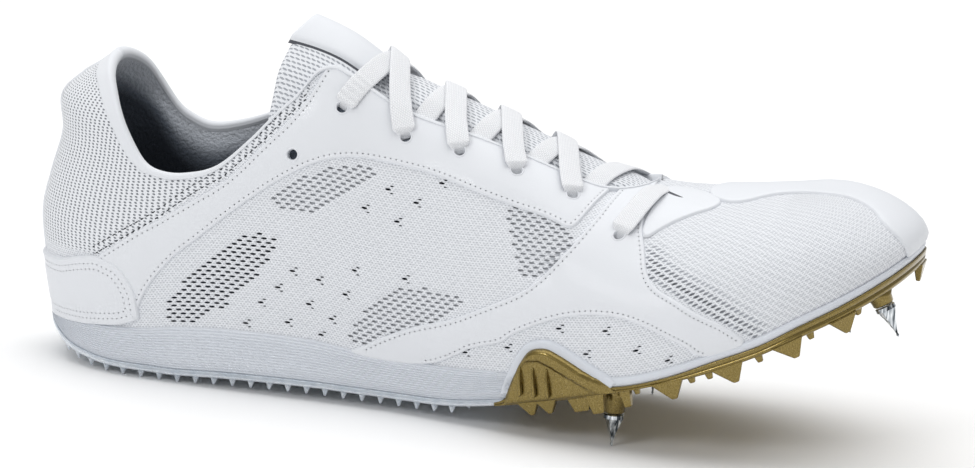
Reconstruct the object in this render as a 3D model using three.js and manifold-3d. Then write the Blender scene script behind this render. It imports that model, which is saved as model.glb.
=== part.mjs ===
// A track spike shoe for the right foot, in millimetres, standing empty on its studs and spikes.
// X runs from heel to toe, Y to the medial side and Z up; the origin is the tip of the heel's centre stud.
import * as THREE from 'three';
import { mergeVertices } from 'three/addons/utils/BufferGeometryUtils.js';
import Module from 'manifold-3d';

const wasm = await Module();
wasm.setup();

// Driving sizes of the last
const shoeLength = 275;
const originShare = 0.12;
const ballWidth = 91;
const toeSpring = 57;
const heelStack = 14;
const instepHeight = 95;
const collarHeight = 97.5;
const heelReach = 40;
const toeReach = 41;

// Walls, layers and clearances
const clearance = 0.3;
const upperWall = 2;
const collarPadding = 4.5;
const featherInset = 1.5;
const rubberThickness = 2;
const plateLip = 1.8;
const rimHeight = 2.3;
const insoleThickness = 3;
const tongueThickness = 3;
const tongueOverlap = 5.5;
const tongueTaper = 4;
const overlayThickness = 0.9;
const wingThickness = 0.6;
const wingMargin = 2.4;
const flangeThickness = 1.4;
const laceWidth = 7;
const laceThickness = 1.1;
const laceLift = 2.1;
const eyeletRadius = 2.1;
const eyeletSides = 6;
const throatHalfWidth = 17;

// Studs, teeth and spikes
const studHeight = 2.6;
const studPitch = 6;
const studInset = 3.5;
const studTipRadius = 0.6;
const studBaseRadius = 1.6;
const toothLength = 10.5;
const toothHeight = 5.2;
const toothTip = 0.1;
const toothThickness = 3;
const spikeLength = 9;
const spikeTipRadius = 0.5;
const spikeRadius = 2.9;
const spikeShoulderRadius = 3.4;
const spikeShoulder = 1.5;
const socketRadius = 4.6;
const sink = 0.8;
const farSide = 80;
const wingRoot = 6;
const lateralMargin = 1;
const medialMargin = 6;

// The frame along the shoe
const heelBack = -originShare * shoeLength;
const along = (share) => heelBack + share * shoeLength;
const heelCentre = along(0.138);
const toeCentre = along(0.847);
const plateRear = along(0.555);
const throatBack = along(0.309);
const throatFront = along(0.691);
const cornerBlend = 6;
const plateRamp = 7;
const collarFadeStart = along(0.25);

// Plan of the sole's edge: lateral and medial half widths as shares of the ball width
const PLAN = [
  { at: 0.138, lateral: 0.341, medial: 0.341 },
  { at: 0.211, lateral: 0.346, medial: 0.337 },
  { at: 0.302, lateral: 0.343, medial: 0.313 },
  { at: 0.375, lateral: 0.341, medial: 0.296 },
  { at: 0.447, lateral: 0.352, medial: 0.300 },
  { at: 0.520, lateral: 0.396, medial: 0.338 },
  { at: 0.593, lateral: 0.434, medial: 0.396 },
  { at: 0.665, lateral: 0.469, medial: 0.456 },
  { at: 0.720, lateral: 0.495, medial: 0.484 },
  { at: 0.775, lateral: 0.497, medial: 0.500 },
  { at: 0.847, lateral: 0.473, medial: 0.495 },
];

// Heights along the shoe: the sole's underside as a share of the toe spring, its stack as a share
// of the heel stack, the ridge as a share of the instep height and its lean as one of the ball width
const HEIGHTS = [
  { at: 0.000, rise: 0.120, stack: 0.32, ridge: 1.35, lean: 0.000 },
  { at: 0.033, rise: 0.042, stack: 0.67, ridge: 1.35, lean: 0.000 },
  { at: 0.065, rise: 0.012, stack: 0.83, ridge: 1.35, lean: 0.000 },
  { at: 0.091, rise: 0.000, stack: 0.91, ridge: 1.35, lean: 0.000 },
  { at: 0.138, rise: 0.000, stack: 1.00, ridge: 1.35, lean: 0.000 },
  { at: 0.171, rise: 0.000, stack: 1.11, ridge: 1.34, lean: 0.000 },
  { at: 0.229, rise: 0.018, stack: 1.14, ridge: 1.28, lean: 0.000 },
  { at: 0.327, rise: 0.032, stack: 1.10, ridge: 1.19, lean: 0.003 },
  { at: 0.404, rise: 0.032, stack: 0.95, ridge: 1.06, lean: 0.008 },
  { at: 0.484, rise: 0.044, stack: 0.90, ridge: 0.98, lean: 0.020 },
  { at: 0.549, rise: 0.095, stack: 0.79, ridge: 0.91, lean: 0.038 },
  { at: 0.633, rise: 0.198, stack: 0.51, ridge: 0.82, lean: 0.068 },
  { at: 0.702, rise: 0.302, stack: 0.34, ridge: 0.79, lean: 0.100 },
  { at: 0.753, rise: 0.386, stack: 0.35, ridge: 0.79, lean: 0.120 },
  { at: 0.800, rise: 0.472, stack: 0.44, ridge: 0.803, lean: 0.130 },
  { at: 0.847, rise: 0.579, stack: 0.44, ridge: 0.82, lean: 0.132 },
  { at: 0.891, rise: 0.700, stack: 0.48, ridge: 0.826, lean: 0.132 },
  { at: 0.931, rise: 0.802, stack: 0.50, ridge: 0.826, lean: 0.132 },
  { at: 0.971, rise: 0.910, stack: 0.52, ridge: 0.826, lean: 0.132 },
  { at: 1.000, rise: 1.000, stack: 0.50, ridge: 0.826, lean: 0.132 },
];

// The collar's edge from the back seam to the throat, as shares of the collar height
const TOPLINE = [
  { at: 0.040, lateral: 1.032, medial: 1.032 },
  { at: 0.069, lateral: 0.908, medial: 0.940 },
  { at: 0.098, lateral: 0.775, medial: 0.795 },
  { at: 0.120, lateral: 0.700, medial: 0.749 },
  { at: 0.142, lateral: 0.675, medial: 0.733 },
  { at: 0.171, lateral: 0.680, medial: 0.749 },
  { at: 0.207, lateral: 0.718, medial: 0.788 },
  { at: 0.240, lateral: 0.808, medial: 0.841 },
  { at: 0.276, lateral: 0.928, medial: 0.928 },
  { at: 0.309, lateral: 1.014, medial: 1.010 },
];

// Section profiles from the sole's edge to the ridge: shares of the way in and of the way up
const PROFILES = [
  {
    at: 0.000,
    lateral: [0, -0.06, -0.15, -0.10, -0.02, -0.045, 0.12, 0.37, 1],
    medial: [0, -0.06, -0.15, -0.10, -0.02, -0.045, 0.12, 0.37, 1],
    up: [0, 0.09, 0.26, 0.38, 0.50, 0.60, 0.665, 0.735, 1],
  },
  {
    at: 0.138,
    lateral: [0, -0.04, -0.07, -0.05, 0.02, 0.12, 0.25, 0.45, 1],
    medial: [0, -0.04, -0.07, -0.05, 0.01, 0.09, 0.22, 0.43, 1],
    up: [0, 0.09, 0.22, 0.34, 0.45, 0.55, 0.65, 0.80, 1],
  },
  {
    at: 0.309,
    lateral: [0, -0.04, -0.06, -0.03, 0.02, 0.09, 0.20, 0.45, 1],
    medial: [0, -0.07, -0.13, -0.12, -0.05, 0.04, 0.17, 0.43, 1],
    up: [0, 0.10, 0.24, 0.39, 0.52, 0.64, 0.76, 0.90, 1],
  },
  {
    at: 0.484,
    lateral: [0, -0.03, -0.045, -0.02, 0.04, 0.13, 0.26, 0.50, 1],
    medial: [0, -0.07, -0.12, -0.10, -0.03, 0.08, 0.23, 0.48, 1],
    up: [0, 0.10, 0.24, 0.40, 0.55, 0.69, 0.82, 0.92, 1],
  },
  {
    at: 0.720,
    lateral: [0, -0.02, -0.02, 0.01, 0.07, 0.17, 0.33, 0.58, 1],
    medial: [0, -0.02, -0.03, -0.01, 0.04, 0.13, 0.28, 0.55, 1],
    up: [0, 0.12, 0.28, 0.43, 0.57, 0.70, 0.82, 0.93, 1],
  },
  {
    at: 0.847,
    lateral: [0, -0.02, -0.015, 0.02, 0.09, 0.20, 0.36, 0.60, 1],
    medial: [0, -0.02, -0.02, 0.00, 0.06, 0.16, 0.32, 0.58, 1],
    up: [0, 0.13, 0.30, 0.46, 0.61, 0.74, 0.86, 0.95, 1],
  },
  {
    at: 1.000,
    lateral: [0, -0.02, 0.00, 0.05, 0.13, 0.23, 0.36, 0.56, 1],
    medial: [0, -0.02, 0.00, 0.05, 0.13, 0.23, 0.36, 0.56, 1],
    up: [0, 0.15, 0.32, 0.50, 0.68, 0.84, 0.98, 1.07, 1],
  },
];
const profileSteps = PROFILES[0].up.length - 1;

// A smooth cubic through a table's rows, for one column
function smooth(table, column, share) {
  const last = table.length - 1;
  const clamped = Math.min(Math.max(share, table[0].at), table[last].at);
  let i = 0;
  while (i < last - 1 && clamped > table[i + 1].at) i += 1;
  const slope = (k) => {
    const a = table[Math.max(k - 1, 0)];
    const b = table[Math.min(k + 1, last)];
    return (column(b) - column(a)) / (b.at - a.at);
  };
  const width = table[i + 1].at - table[i].at;
  const u = (clamped - table[i].at) / width;
  return cubic(column(table[i]), column(table[i + 1]), slope(i) * width, slope(i + 1) * width, u);
}

function cubic(from, to, slopeFrom, slopeTo, u) {
  const u2 = u * u;
  const u3 = u2 * u;
  const start = (2 * u3 - 3 * u2 + 1) * from + (u3 - 2 * u2 + u) * slopeFrom;
  return start + (3 * u2 - 2 * u3) * to + (u3 - u2) * slopeTo;
}

const shareAt = (x) => (x - heelBack) / shoeLength;
const halfWidth = (x, side) => {
  const column = side < 0 ? (row) => row.lateral : (row) => row.medial;
  return ballWidth * smooth(PLAN, column, shareAt(x));
};
const soleBottom = (x) => studHeight + toeSpring * smooth(HEIGHTS, (row) => row.rise, shareAt(x));
const feather = (x) => soleBottom(x) + heelStack * smooth(HEIGHTS, (row) => row.stack, shareAt(x));
const ridgeHeight = (x) => instepHeight * smooth(HEIGHTS, (row) => row.ridge, shareAt(x));
const ridgeY = (x) => ballWidth * smooth(HEIGHTS, (row) => row.lean, shareAt(x));
const topline = (x, side) => {
  const column = side < 0 ? (row) => row.lateral : (row) => row.medial;
  return collarHeight * smooth(TOPLINE, column, shareAt(x));
};
const fade = (x, from, to) => THREE.MathUtils.smoothstep(x, from, to);

// Half width of the throat's opening, with a round front end
function throatHalf(x) {
  const front = throatFront - throatHalfWidth;
  if (x <= front) return throatHalfWidth;
  const reach = Math.min((x - front) / throatHalfWidth, 1);
  return throatHalfWidth * Math.sqrt(1 - reach * reach);
}

// The sole's edge in plan: t runs from -1 to 1, negative on the lateral side, 0 at the heel's back
// and 1 at the toe's tip; the edge is drawn in by an inset
const heelTurn = 0.15;
const toeTurn = 0.8;

function wrap(t) {
  if (t > 1) return t - 2;
  if (t < -1) return t + 2;
  return t;
}

function edge(t, inset) {
  const turn = wrap(t);
  const side = turn < 0 ? -1 : 1;
  const q = Math.abs(turn);
  if (q < heelTurn) {
    const angle = (q / heelTurn) * Math.PI / 2;
    const wide = halfWidth(heelCentre, side) - inset;
    const x = heelCentre - (heelReach - inset) * Math.cos(angle);
    return { x, y: side * wide * Math.sin(angle), side };
  }
  if (q > toeTurn) {
    const angle = ((q - toeTurn) / (1 - toeTurn)) * Math.PI / 2;
    const middle = ridgeY(toeCentre);
    const wide = halfWidth(toeCentre, side) - side * middle - inset;
    const x = toeCentre + (toeReach - inset) * Math.sin(angle);
    return { x, y: middle + side * wide * Math.cos(angle), side };
  }
  const x = THREE.MathUtils.mapLinear(q, heelTurn, toeTurn, heelCentre, toeCentre);
  return { x, y: side * (halfWidth(x, side) - inset), side };
}

// The ridge point that each section of the edge rises to
function spine(x) {
  const ridgeX = Math.min(Math.max(x, heelCentre), toeCentre);
  return { x: ridgeX, y: ridgeY(ridgeX), z: ridgeHeight(ridgeX) };
}

// A section's shares of the way in and up at v
function section(share, side, v) {
  const at = v * profileSteps;
  const i = Math.min(Math.floor(at), profileSteps - 1);
  const value = (pick, k) => {
    const held = Math.min(Math.max(k, 0), profileSteps);
    return smooth(PROFILES, (row) => pick(row)[held], share);
  };
  const level = (pick, flatTop) => {
    const before = value(pick, i - 1);
    const from = value(pick, i);
    const to = value(pick, i + 1);
    const after = value(pick, i + 2);
    const slopeFrom = i === 0 ? to - from : (to - before) / 2;
    const slopeEnd = flatTop ? 0 : to - from;
    const slopeTo = i === profileSteps - 1 ? slopeEnd : (after - from) / 2;
    return cubic(from, to, slopeFrom, slopeTo, at - i);
  };
  const inward = side < 0 ? (row) => row.lateral : (row) => row.medial;
  return { inward: level(inward, false), up: level((row) => row.up, true) };
}

// The last's surface, with no wall
function lastPoint(t, v) {
  const foot = edge(t, featherInset);
  const top = spine(foot.x);
  const share = section(shareAt(foot.x), foot.side, v);
  const low = feather(foot.x);
  return new THREE.Vector3(
    foot.x + (top.x - foot.x) * share.inward,
    foot.y + (top.y - foot.y) * share.inward,
    low + (top.z - low) * share.up,
  );
}

// Outward direction on the last; level at the sole's edge and square to the ridge at its top
const nudge = 0.004;
const ridgeV = 0.999;

function outward(t, v) {
  if (v > ridgeV) {
    const top = spine(lastPoint(t, 0).x);
    const rise = (ridgeHeight(top.x + 1) - ridgeHeight(top.x - 1)) / 2;
    return new THREE.Vector3(-rise, 0, 1).normalize();
  }
  const lowV = Math.max(v - nudge, 0);
  const highV = Math.min(v + nudge, 1);
  const around = lastPoint(t + nudge, v).sub(lastPoint(t - nudge, v));
  const upward = lastPoint(t, highV).sub(lastPoint(t, lowV));
  const normal = upward.cross(around).normalize();
  if (v < nudge) normal.setZ(0).normalize();
  return normal;
}

const grown = (t, v, grow) => lastPoint(t, v).addScaledVector(outward(t, v), grow);

// Where the collar or the throat cuts a section
function cutAt(t) {
  const foot = edge(t, featherInset);
  if (spine(foot.x).x >= throatFront) return 1;
  const byCollar = bisect((v) => {
    const p = lastPoint(t, v);
    return p.z - topline(p.x, foot.side);
  });
  const byThroat = bisect((v) => {
    const p = lastPoint(t, v);
    return throatHalf(p.x) - Math.abs(p.y - ridgeY(p.x));
  });
  const share = fade(foot.x, throatBack - cornerBlend, throatBack + cornerBlend);
  return THREE.MathUtils.lerp(byCollar, byThroat, share);
}

function bisect(rising) {
  let low = 0.3;
  let high = 1;
  for (let i = 0; i < 30; i += 1) {
    const middle = (low + high) / 2;
    if (rising(middle) < 0) low = middle;
    else high = middle;
  }
  return low;
}

// Sections round the shoe: an even count in each turn and along each side
const heelSections = 5;
const sideSections = 15;
const toeSections = 5;

function sectionPlaces() {
  const half = [];
  for (let i = 0; i < heelSections; i += 1) half.push((heelTurn * i) / heelSections);
  for (let i = 0; i < sideSections; i += 1) half.push(heelTurn + ((toeTurn - heelTurn) * i) / sideSections);
  for (let i = 0; i <= toeSections; i += 1) half.push(toeTurn + ((1 - toeTurn) * i) / toeSections);
  const other = half.slice(1, -1).reverse().map((t) => -t);
  return half.concat(other);
}

const PLACES = sectionPlaces();
const CUTS = PLACES.map(cutAt);
const rowCount = 7;
const rowsOver = 2;

// Loft of closed sections into one body; a strip may be left out where two halves share it
function loft(columns, closed, skip = () => false, turnBack = Infinity) {
  const triangles = [];
  const count = columns[0].length;
  const rows = closed ? count : count - 1;
  for (let k = 0; k < columns.length; k += 1) {
    const next = columns[(k + 1) % columns.length];
    for (let j = 0; j < rows; j += 1) {
      if (skip(k, j)) continue;
      const a = columns[k][j];
      const b = next[j];
      const c = next[(j + 1) % count];
      const d = columns[k][(j + 1) % count];
      if (j > turnBack) triangles.push([a, d, b], [b, d, c]);
      else triangles.push([a, c, b], [a, d, c]);
    }
  }
  return fromTriangles(triangles);
}

const tiny = 1e-4;

function fromTriangles(triangles) {
  const places = [];
  for (const [a, b, c] of triangles) {
    if (a.distanceTo(b) < tiny || b.distanceTo(c) < tiny || c.distanceTo(a) < tiny) continue;
    places.push(...a.toArray(), ...b.toArray(), ...c.toArray());
  }
  const geometry = new THREE.BufferGeometry();
  geometry.setAttribute('position', new THREE.Float32BufferAttribute(places, 3));
  return mergeVertices(geometry, tiny);
}

// Between three's geometry and solids that can be joined and cut
function solid(geometry) {
  const bare = geometry.clone();
  bare.deleteAttribute('normal');
  bare.deleteAttribute('uv');
  const merged = mergeVertices(bare, tiny);
  return new wasm.Manifold(new wasm.Mesh({
    numProp: 3,
    vertProperties: new Float32Array(merged.attributes.position.array),
    triVerts: new Uint32Array(merged.index.array),
  }));
}

function geometryOf(body) {
  const mesh = body.getMesh();
  const geometry = new THREE.BufferGeometry();
  geometry.setAttribute('position', new THREE.Float32BufferAttribute(mesh.vertProperties, 3));
  geometry.setIndex(new THREE.BufferAttribute(mesh.triVerts, 1));
  return geometry;
}

// The last as a solid, grown outward or drawn in, with a skirt below the sole's edge
const skirt = 8;

function lastSolid(grow) {
  const columns = PLACES.map((t, k) => {
    const foot = grown(t, 0, grow);
    const low = feather(edge(t, featherInset).x) - skirt;
    const middle = spine(edge(t, featherInset).x);
    const points = [new THREE.Vector3(middle.x, middle.y, low), new THREE.Vector3(foot.x, foot.y, low)];
    for (let j = 0; j <= rowCount; j += 1) points.push(grown(t, (CUTS[k] * j) / rowCount, grow));
    for (let j = 1; j <= rowsOver; j += 1) {
      points.push(grown(t, CUTS[k] + ((1 - CUTS[k]) * j) / rowsOver, grow));
    }
    return points;
  });
  columns.forEach((points) => {
    points[0].z = feather(points[0].x) - skirt;
  });
  return solid(loft(columns, false));
}

// A shell between two sizes of the last, cut off at a height over the sole's edge
function shell(inner, outer, lowest) {
  const wide = 12;
  const deep = (x) => feather(x) - 3 * skirt;
  const ground = layer(deep, (x) => feather(x) + lowest, [[0, 0], [0, -wide], [1, -wide], [1, 0]]);
  return lastSolid(outer).subtract(lastSolid(inner)).subtract(ground);
}

// Wall of the upper, thicker where the collar is padded
function wallAt(t, v, cut) {
  const x = edge(t, featherInset).x;
  const high = fade(v / cut, 0.45, 0.8);
  const behind = 1 - fade(x, heelCentre, collarFadeStart);
  return upperWall + collarPadding * high * behind;
}

function upperSolid() {
  const roll = 0.35;
  const columns = PLACES.map((t, k) => {
    const cut = CUTS[k];
    const outer = [];
    const inner = [];
    for (let j = 0; j <= rowCount; j += 1) {
      const v = (cut * j) / rowCount;
      outer.push(grown(t, v, 0));
      inner.push(grown(t, v, -wallAt(t, v, cut)));
    }
    const middle = outer[rowCount].clone().add(inner[rowCount]).multiplyScalar(0.5);
    if (cut < 1) {
      const rise = outer[rowCount].clone().sub(outer[rowCount - 1]).normalize();
      middle.addScaledVector(rise, roll * wallAt(t, cut, cut));
    }
    return outer.concat([middle], inner.reverse());
  });
  const shared = (k) => CUTS[k] === 1 && CUTS[(k + 1) % CUTS.length] === 1;
  const skipped = (k, j) => shared(k) && (j === rowCount || j === rowCount + 1);
  return solid(loft(columns, true, skipped, rowCount + 1));
}

// A flat layer of the sole between two heights, with the shape of its side as insets
const centreRings = [0, 0.7];

function layer(low, high, sides) {
  const columns = PLACES.map((t) => {
    const point = (ring, inset, height) => {
      const rim = edge(t, ring < 1 ? 0 : inset);
      const middle = spine(rim.x);
      const x = middle.x + (rim.x - middle.x) * ring;
      return new THREE.Vector3(x, middle.y + (rim.y - middle.y) * ring, height(x));
    };
    const between = (share) => (x) => low(x) + (high(x) - low(x)) * share;
    return [
      ...centreRings.map((ring) => point(ring, sides[0][1], low)),
      ...sides.map(([share, inset]) => point(1, inset, between(share))),
      ...centreRings.slice().reverse().map((ring) => point(ring, sides[sides.length - 1][1], high)),
    ];
  });
  return solid(loft(columns, false));
}

// A prism from an outline in the side view, across the shoe
function sidePrism(points, fromY, toY) {
  const shape = new THREE.Shape(points.map(([x, z]) => new THREE.Vector2(x, z)));
  const geometry = new THREE.ExtrudeGeometry(shape, { depth: toY - fromY, bevelEnabled: false });
  geometry.rotateX(Math.PI / 2);
  geometry.translate(0, toY, 0);
  return solid(geometry);
}

// A prism from an outline in plan, through the shoe's height
function planPrism(points) {
  const shape = new THREE.Shape(points.map(([x, y]) => new THREE.Vector2(x, y)));
  const geometry = new THREE.ExtrudeGeometry(shape, { depth: 2 * farSide, bevelEnabled: false });
  return solid(geometry);
}

// Panel outlines on the side, as shares of the length and of the height from edge to ridge
const onSide = ([share, up]) => {
  const x = along(share);
  return [x, feather(x) + (ridgeHeight(x) - feather(x)) * up];
};
const overTop = 1.1;
const hem = -0.05;

const COUNTER = [
  [-0.04, hem], [-0.04, 0.16], [0.013, 0.16], [0.073, 0.20], [0.087, 0.19], [0.101, 0.18],
  [0.113, 0.15], [0.121, 0.12], [0.126, 0.09], [0.132, hem],
];

const EYESTAY = [
  [0.080, 0.215], [0.104, 0.195], [0.126, 0.13], [0.141, 0.16], [0.166, 0.21], [0.194, 0.27],
  [0.242, 0.40], [0.285, 0.51], [0.329, 0.61], [0.373, 0.69], [0.412, 0.73], [0.467, 0.75],
  [0.543, 0.75], [0.596, 0.77], [0.622, 0.75], [0.632, 0.83], [0.645, 0.93], [0.655, overTop],
  [0.327, overTop], [0.308, 0.80], [0.295, 0.73], [0.281, 0.67], [0.261, 0.60], [0.239, 0.52],
  [0.218, 0.45], [0.190, 0.39], [0.151, 0.32], [0.127, 0.29], [0.104, 0.25],
];

const STRAP = [
  [0.370, hem], [0.391, 0.02], [0.416, 0.08], [0.454, 0.15], [0.493, 0.20], [0.530, 0.28],
  [0.555, 0.34], [0.579, 0.41], [0.597, 0.50], [0.611, 0.59], [0.624, 0.67], [0.638, 0.78],
  [0.649, 0.88], [0.661, overTop], [0.700, overTop], [0.694, 0.86], [0.706, 0.76], [0.716, 0.61],
  [0.731, 0.53], [0.753, 0.46], [0.783, 0.32], [0.813, 0.18], [0.843, hem], [0.790, hem],
  [0.770, 0.12], [0.746, 0.22], [0.722, 0.31], [0.698, 0.36], [0.674, 0.37], [0.651, 0.36],
  [0.627, 0.33], [0.604, 0.28], [0.569, 0.19], [0.559, 0.14], [0.522, 0.10], [0.508, 0.06],
  [0.465, hem],
];

// Outlines in plan, as shares of the length and of the ball width
const onPlan = ([share, across]) => [along(share), ballWidth * across];
const TOE_CAP = [
  [0.745, 0.03], [0.770, -0.06], [0.795, -0.07], [0.825, 0.01], [0.856, 0.02], [0.900, 0.01],
  [0.950, -0.03], [0.975, -0.09], [0.982, -0.20], [1.050, -0.20], [1.050, 0.70], [0.860, 0.70],
  [0.860, 0.47], [0.800, 0.30], [0.765, 0.20],
];
const VAMP_PATCH = [
  [0.704, -0.235], [0.735, -0.10], [0.765, -0.08], [0.740, 0.02], [0.712, 0.05], [0.704, 0],
];

// The tongue's free end in the side view
const TONGUE_END = [
  [0.260, 0.30], [0.260, 0.84], [0.264, 0.88], [0.272, 0.93], [0.286, 0.985], [0.305, 1.3],
];

// Side wing and flange beside the ball, as shares of the length and in heights above the sole's edge
const WING = [
  [0.570, -0.05], [0.580, 0.038], [0.588, 0.105], [0.5945, 0.137], [0.604, 0.152], [0.6145, 0.156],
  [0.624, 0.140], [0.637, 0.110], [0.650, 0.075], [0.665, 0.030], [0.680, -0.01],
];
const FLANGE_RIBS = [0.583, 0.602, 0.621];

// Eyelets from the collar forward: place along the shoe and share of the way up to the throat's edge
const EYELETS = [
  { at: 0.295, up: 0.74 },
  { at: 0.343, up: 0.89 },
  { at: 0.418, up: 0.90 },
  { at: 0.481, up: 0.91 },
  { at: 0.547, up: 0.92 },
  { at: 0.612, up: 0.92 },
  { at: 0.675, up: 0.76 },
];

// Where the front strap heads to under the vamp
const LACE_END = { at: 0.73, up: 0.8 };
const barEnd = -0.1;

// Teeth round the plate's edge, by turn and size; and spikes, by place along and across
const TEETH = [
  { turn: 0.569, size: 0.67 },
  { turn: 0.583, size: 0.67 },
  { turn: 0.714, size: 1 },
  { turn: 0.773, size: 1 },
  { turn: 0.829, size: 1 },
  { turn: 0.880, size: 1 },
];
const SPIKES = [
  { name: 'spike_rear_lateral', at: 0.689, across: -0.374, square: false },
  { name: 'spike_rear_medial', at: 0.684, across: 0.363, square: false },
  { name: 'spike_front_lateral', at: 0.962, across: -0.154, square: true },
  { name: 'spike_front_medial', at: 0.884, across: 0.330, square: true },
];
const frontSocket = 3.4;

const upright = new THREE.Vector3(0, 1, 0);
const turnAt = (x, side) => (
  side * THREE.MathUtils.mapLinear(x, heelCentre, toeCentre, heelTurn, toeTurn)
);

// An eyelet's height on its section
const eyeletV = ({ at, up }, side) => up * cutAt(turnAt(along(at), side));

const throatCutter = () => {
  const margin = 0.8;
  const start = throatBack - throatHalfWidth;
  const steps = 14;
  const outline = [];
  for (let i = 0; i <= steps; i += 1) {
    const x = THREE.MathUtils.lerp(start, throatFront, Math.sqrt(i / steps));
    outline.push([x, ridgeY(x) - throatHalf(x) - margin]);
  }
  for (let i = steps; i >= 0; i -= 1) {
    const x = THREE.MathUtils.lerp(start, throatFront, Math.sqrt(i / steps));
    outline.push([x, ridgeY(x) + throatHalf(x) + margin]);
  }
  return planPrism(outline);
};

function eyeletCutters() {
  const cutters = [];
  for (const side of [-1, 1]) {
    for (const eyelet of EYELETS) {
      const t = turnAt(along(eyelet.at), side);
      const v = eyeletV(eyelet, side);
      const hole = new THREE.CylinderGeometry(eyeletRadius, eyeletRadius, 4 * upperWall, eyeletSides);
      const turn = new THREE.Quaternion().setFromUnitVectors(upright, outward(t, v));
      hole.applyQuaternion(turn);
      const { x, y, z } = lastPoint(t, v);
      hole.translate(x, y, z);
      cutters.push(solid(hole));
    }
  }
  return wasm.Manifold.union(cutters);
}

// Flat lace strap over the throat from a lateral eyelet, at -1, to a medial one, at 1
function strap(lateralEnd, medialEnd, from, to) {
  const steps = 5;
  const centres = [];
  for (let i = 0; i <= steps; i += 1) {
    const place = THREE.MathUtils.lerp(from, to, i / steps);
    const side = place < 0 ? -1 : 1;
    const end = side < 0 ? lateralEnd : medialEnd;
    const share = THREE.MathUtils.mapLinear(place, -1, 1, lateralEnd.at, medialEnd.at);
    const t = turnAt(along(share), side);
    const v = 1 - Math.abs(place) * (1 - eyeletV(end, side));
    centres.push({ point: grown(t, v, laceLift), normal: outward(t, v) });
  }
  const corners = [[0.5, 0], [0.5, 1], [-0.5, 1], [-0.5, 0]];
  const columns = corners.map(([wide, high]) => {
    const line = centres.map(({ point, normal }, i) => {
      const before = centres[Math.max(i - 1, 0)].point;
      const after = centres[Math.min(i + 1, steps)].point;
      const across = after.clone().sub(before).cross(normal).normalize();
      const middle = point.clone().addScaledVector(normal, high * laceThickness);
      return middle.addScaledVector(across, wide * laceWidth);
    });
    const cap = (i) => centres[i].point.clone().addScaledVector(centres[i].normal, laceThickness / 2);
    return [cap(0), ...line, cap(steps)];
  });
  return solid(loft(columns, false));
}

// One tooth under the plate's edge
function tooth(t, size) {
  const here = edge(t, toothThickness / 2);
  const ahead = edge(t + Math.sign(t) * nudge, toothThickness / 2);
  const low = soleBottom(here.x);
  const climb = soleBottom(ahead.x) - low;
  const forward = new THREE.Vector3(ahead.x - here.x, ahead.y - here.y, climb).normalize();
  const across = forward.clone().cross(new THREE.Vector3(0, 0, 1)).normalize();
  const rise = across.clone().cross(forward);
  const profile = new THREE.Shape([
    new THREE.Vector2(-toothLength * size / 2, sink),
    new THREE.Vector2(toothLength * size * toothTip, -toothHeight * size),
    new THREE.Vector2(toothLength * size / 2, sink),
  ]);
  const geometry = new THREE.ExtrudeGeometry(profile, { depth: toothThickness, bevelEnabled: false });
  geometry.translate(0, 0, -toothThickness / 2);
  const frame = new THREE.Matrix4().makeBasis(forward, rise, across);
  geometry.applyMatrix4(frame.setPosition(here.x, here.y, low));
  return solid(geometry);
}

// Spikes and their sockets, turned about an axis that points from the tip into the sole
const spikeReach = spikeLength + spikeShoulder;

function spikeFrame({ at, across, square }) {
  const x = along(at);
  const slope = square ? (soleBottom(x + 1) - soleBottom(x - 1)) / 2 : 0;
  const axis = new THREE.Vector3(-slope, 0, 1).normalize();
  const seat = new THREE.Vector3(x, ballWidth * across, soleBottom(x));
  const socket = square ? frontSocket : seat.z - spikeReach - clearance;
  const tip = seat.clone().addScaledVector(axis, -(socket + spikeReach + clearance));
  const turn = new THREE.Quaternion().setFromUnitVectors(upright, axis);
  return { tip, turn, socket };
}

function turned(profile, sides, { tip, turn }) {
  const geometry = new THREE.LatheGeometry(profile.map(([r, h]) => new THREE.Vector2(r, h)), sides);
  geometry.applyQuaternion(turn);
  geometry.translate(tip.x, tip.y, tip.z);
  return solid(geometry);
}

function spikeSolid(place) {
  const sides = 8;
  const profile = [
    [0, 0], [spikeTipRadius, 0], [spikeRadius, spikeLength], [spikeShoulderRadius, spikeLength],
    [spikeShoulderRadius, spikeReach], [0, spikeReach],
  ];
  return turned(profile, sides, spikeFrame(place));
}

function socketSolid(place) {
  const sides = 10;
  const frame = spikeFrame(place);
  const low = spikeReach + clearance;
  const high = low + frame.socket + sink;
  const profile = [[0, low], [socketRadius, low], [socketRadius + sink, high], [0, high]];
  return turned(profile, sides, frame);
}

// Studs under the heel unit, in rows that follow its edge, and one at the heel's centre
function studPlaces() {
  const places = [new THREE.Vector2(0, 0)];
  const finest = 0.0005;
  const limit = along(0.52);
  for (const [inset, pitch] of [[studInset, studPitch], [studInset + studPitch, 4 * studPitch]]) {
    for (const side of [-1, 1]) {
      let last = edge(0, inset);
      if (side < 0) places.push(new THREE.Vector2(last.x, last.y));
      for (let q = finest; q < toeTurn; q += finest) {
        const here = edge(side * q, inset);
        if (here.x > limit) break;
        if (Math.hypot(here.x - last.x, here.y - last.y) < pitch) continue;
        places.push(new THREE.Vector2(here.x, here.y));
        last = here;
      }
    }
  }
  return places;
}

function studSolid(place) {
  const root = 1.2;
  const geometry = new THREE.CylinderGeometry(studBaseRadius, studTipRadius, studHeight + root, 4);
  geometry.rotateX(Math.PI / 2);
  geometry.translate(place.x, place.y, soleBottom(place.x) - studHeight + (studHeight + root) / 2);
  return solid(geometry);
}

// Regions that split the layers
const farBelow = -10;
const forepart = (margin) => {
  const x = plateRear - margin;
  const z = (share) => feather(plateRear) * share + margin;
  return sidePrism([
    [x, farBelow], [x, z(0.66)], [x + plateRamp / 2, z(0.85)], [x + plateRamp, z(1.2)],
    [x + plateRamp, farSide], [along(1.1), farSide], [along(1.1), farBelow],
  ], -farSide, farSide);
};

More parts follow.
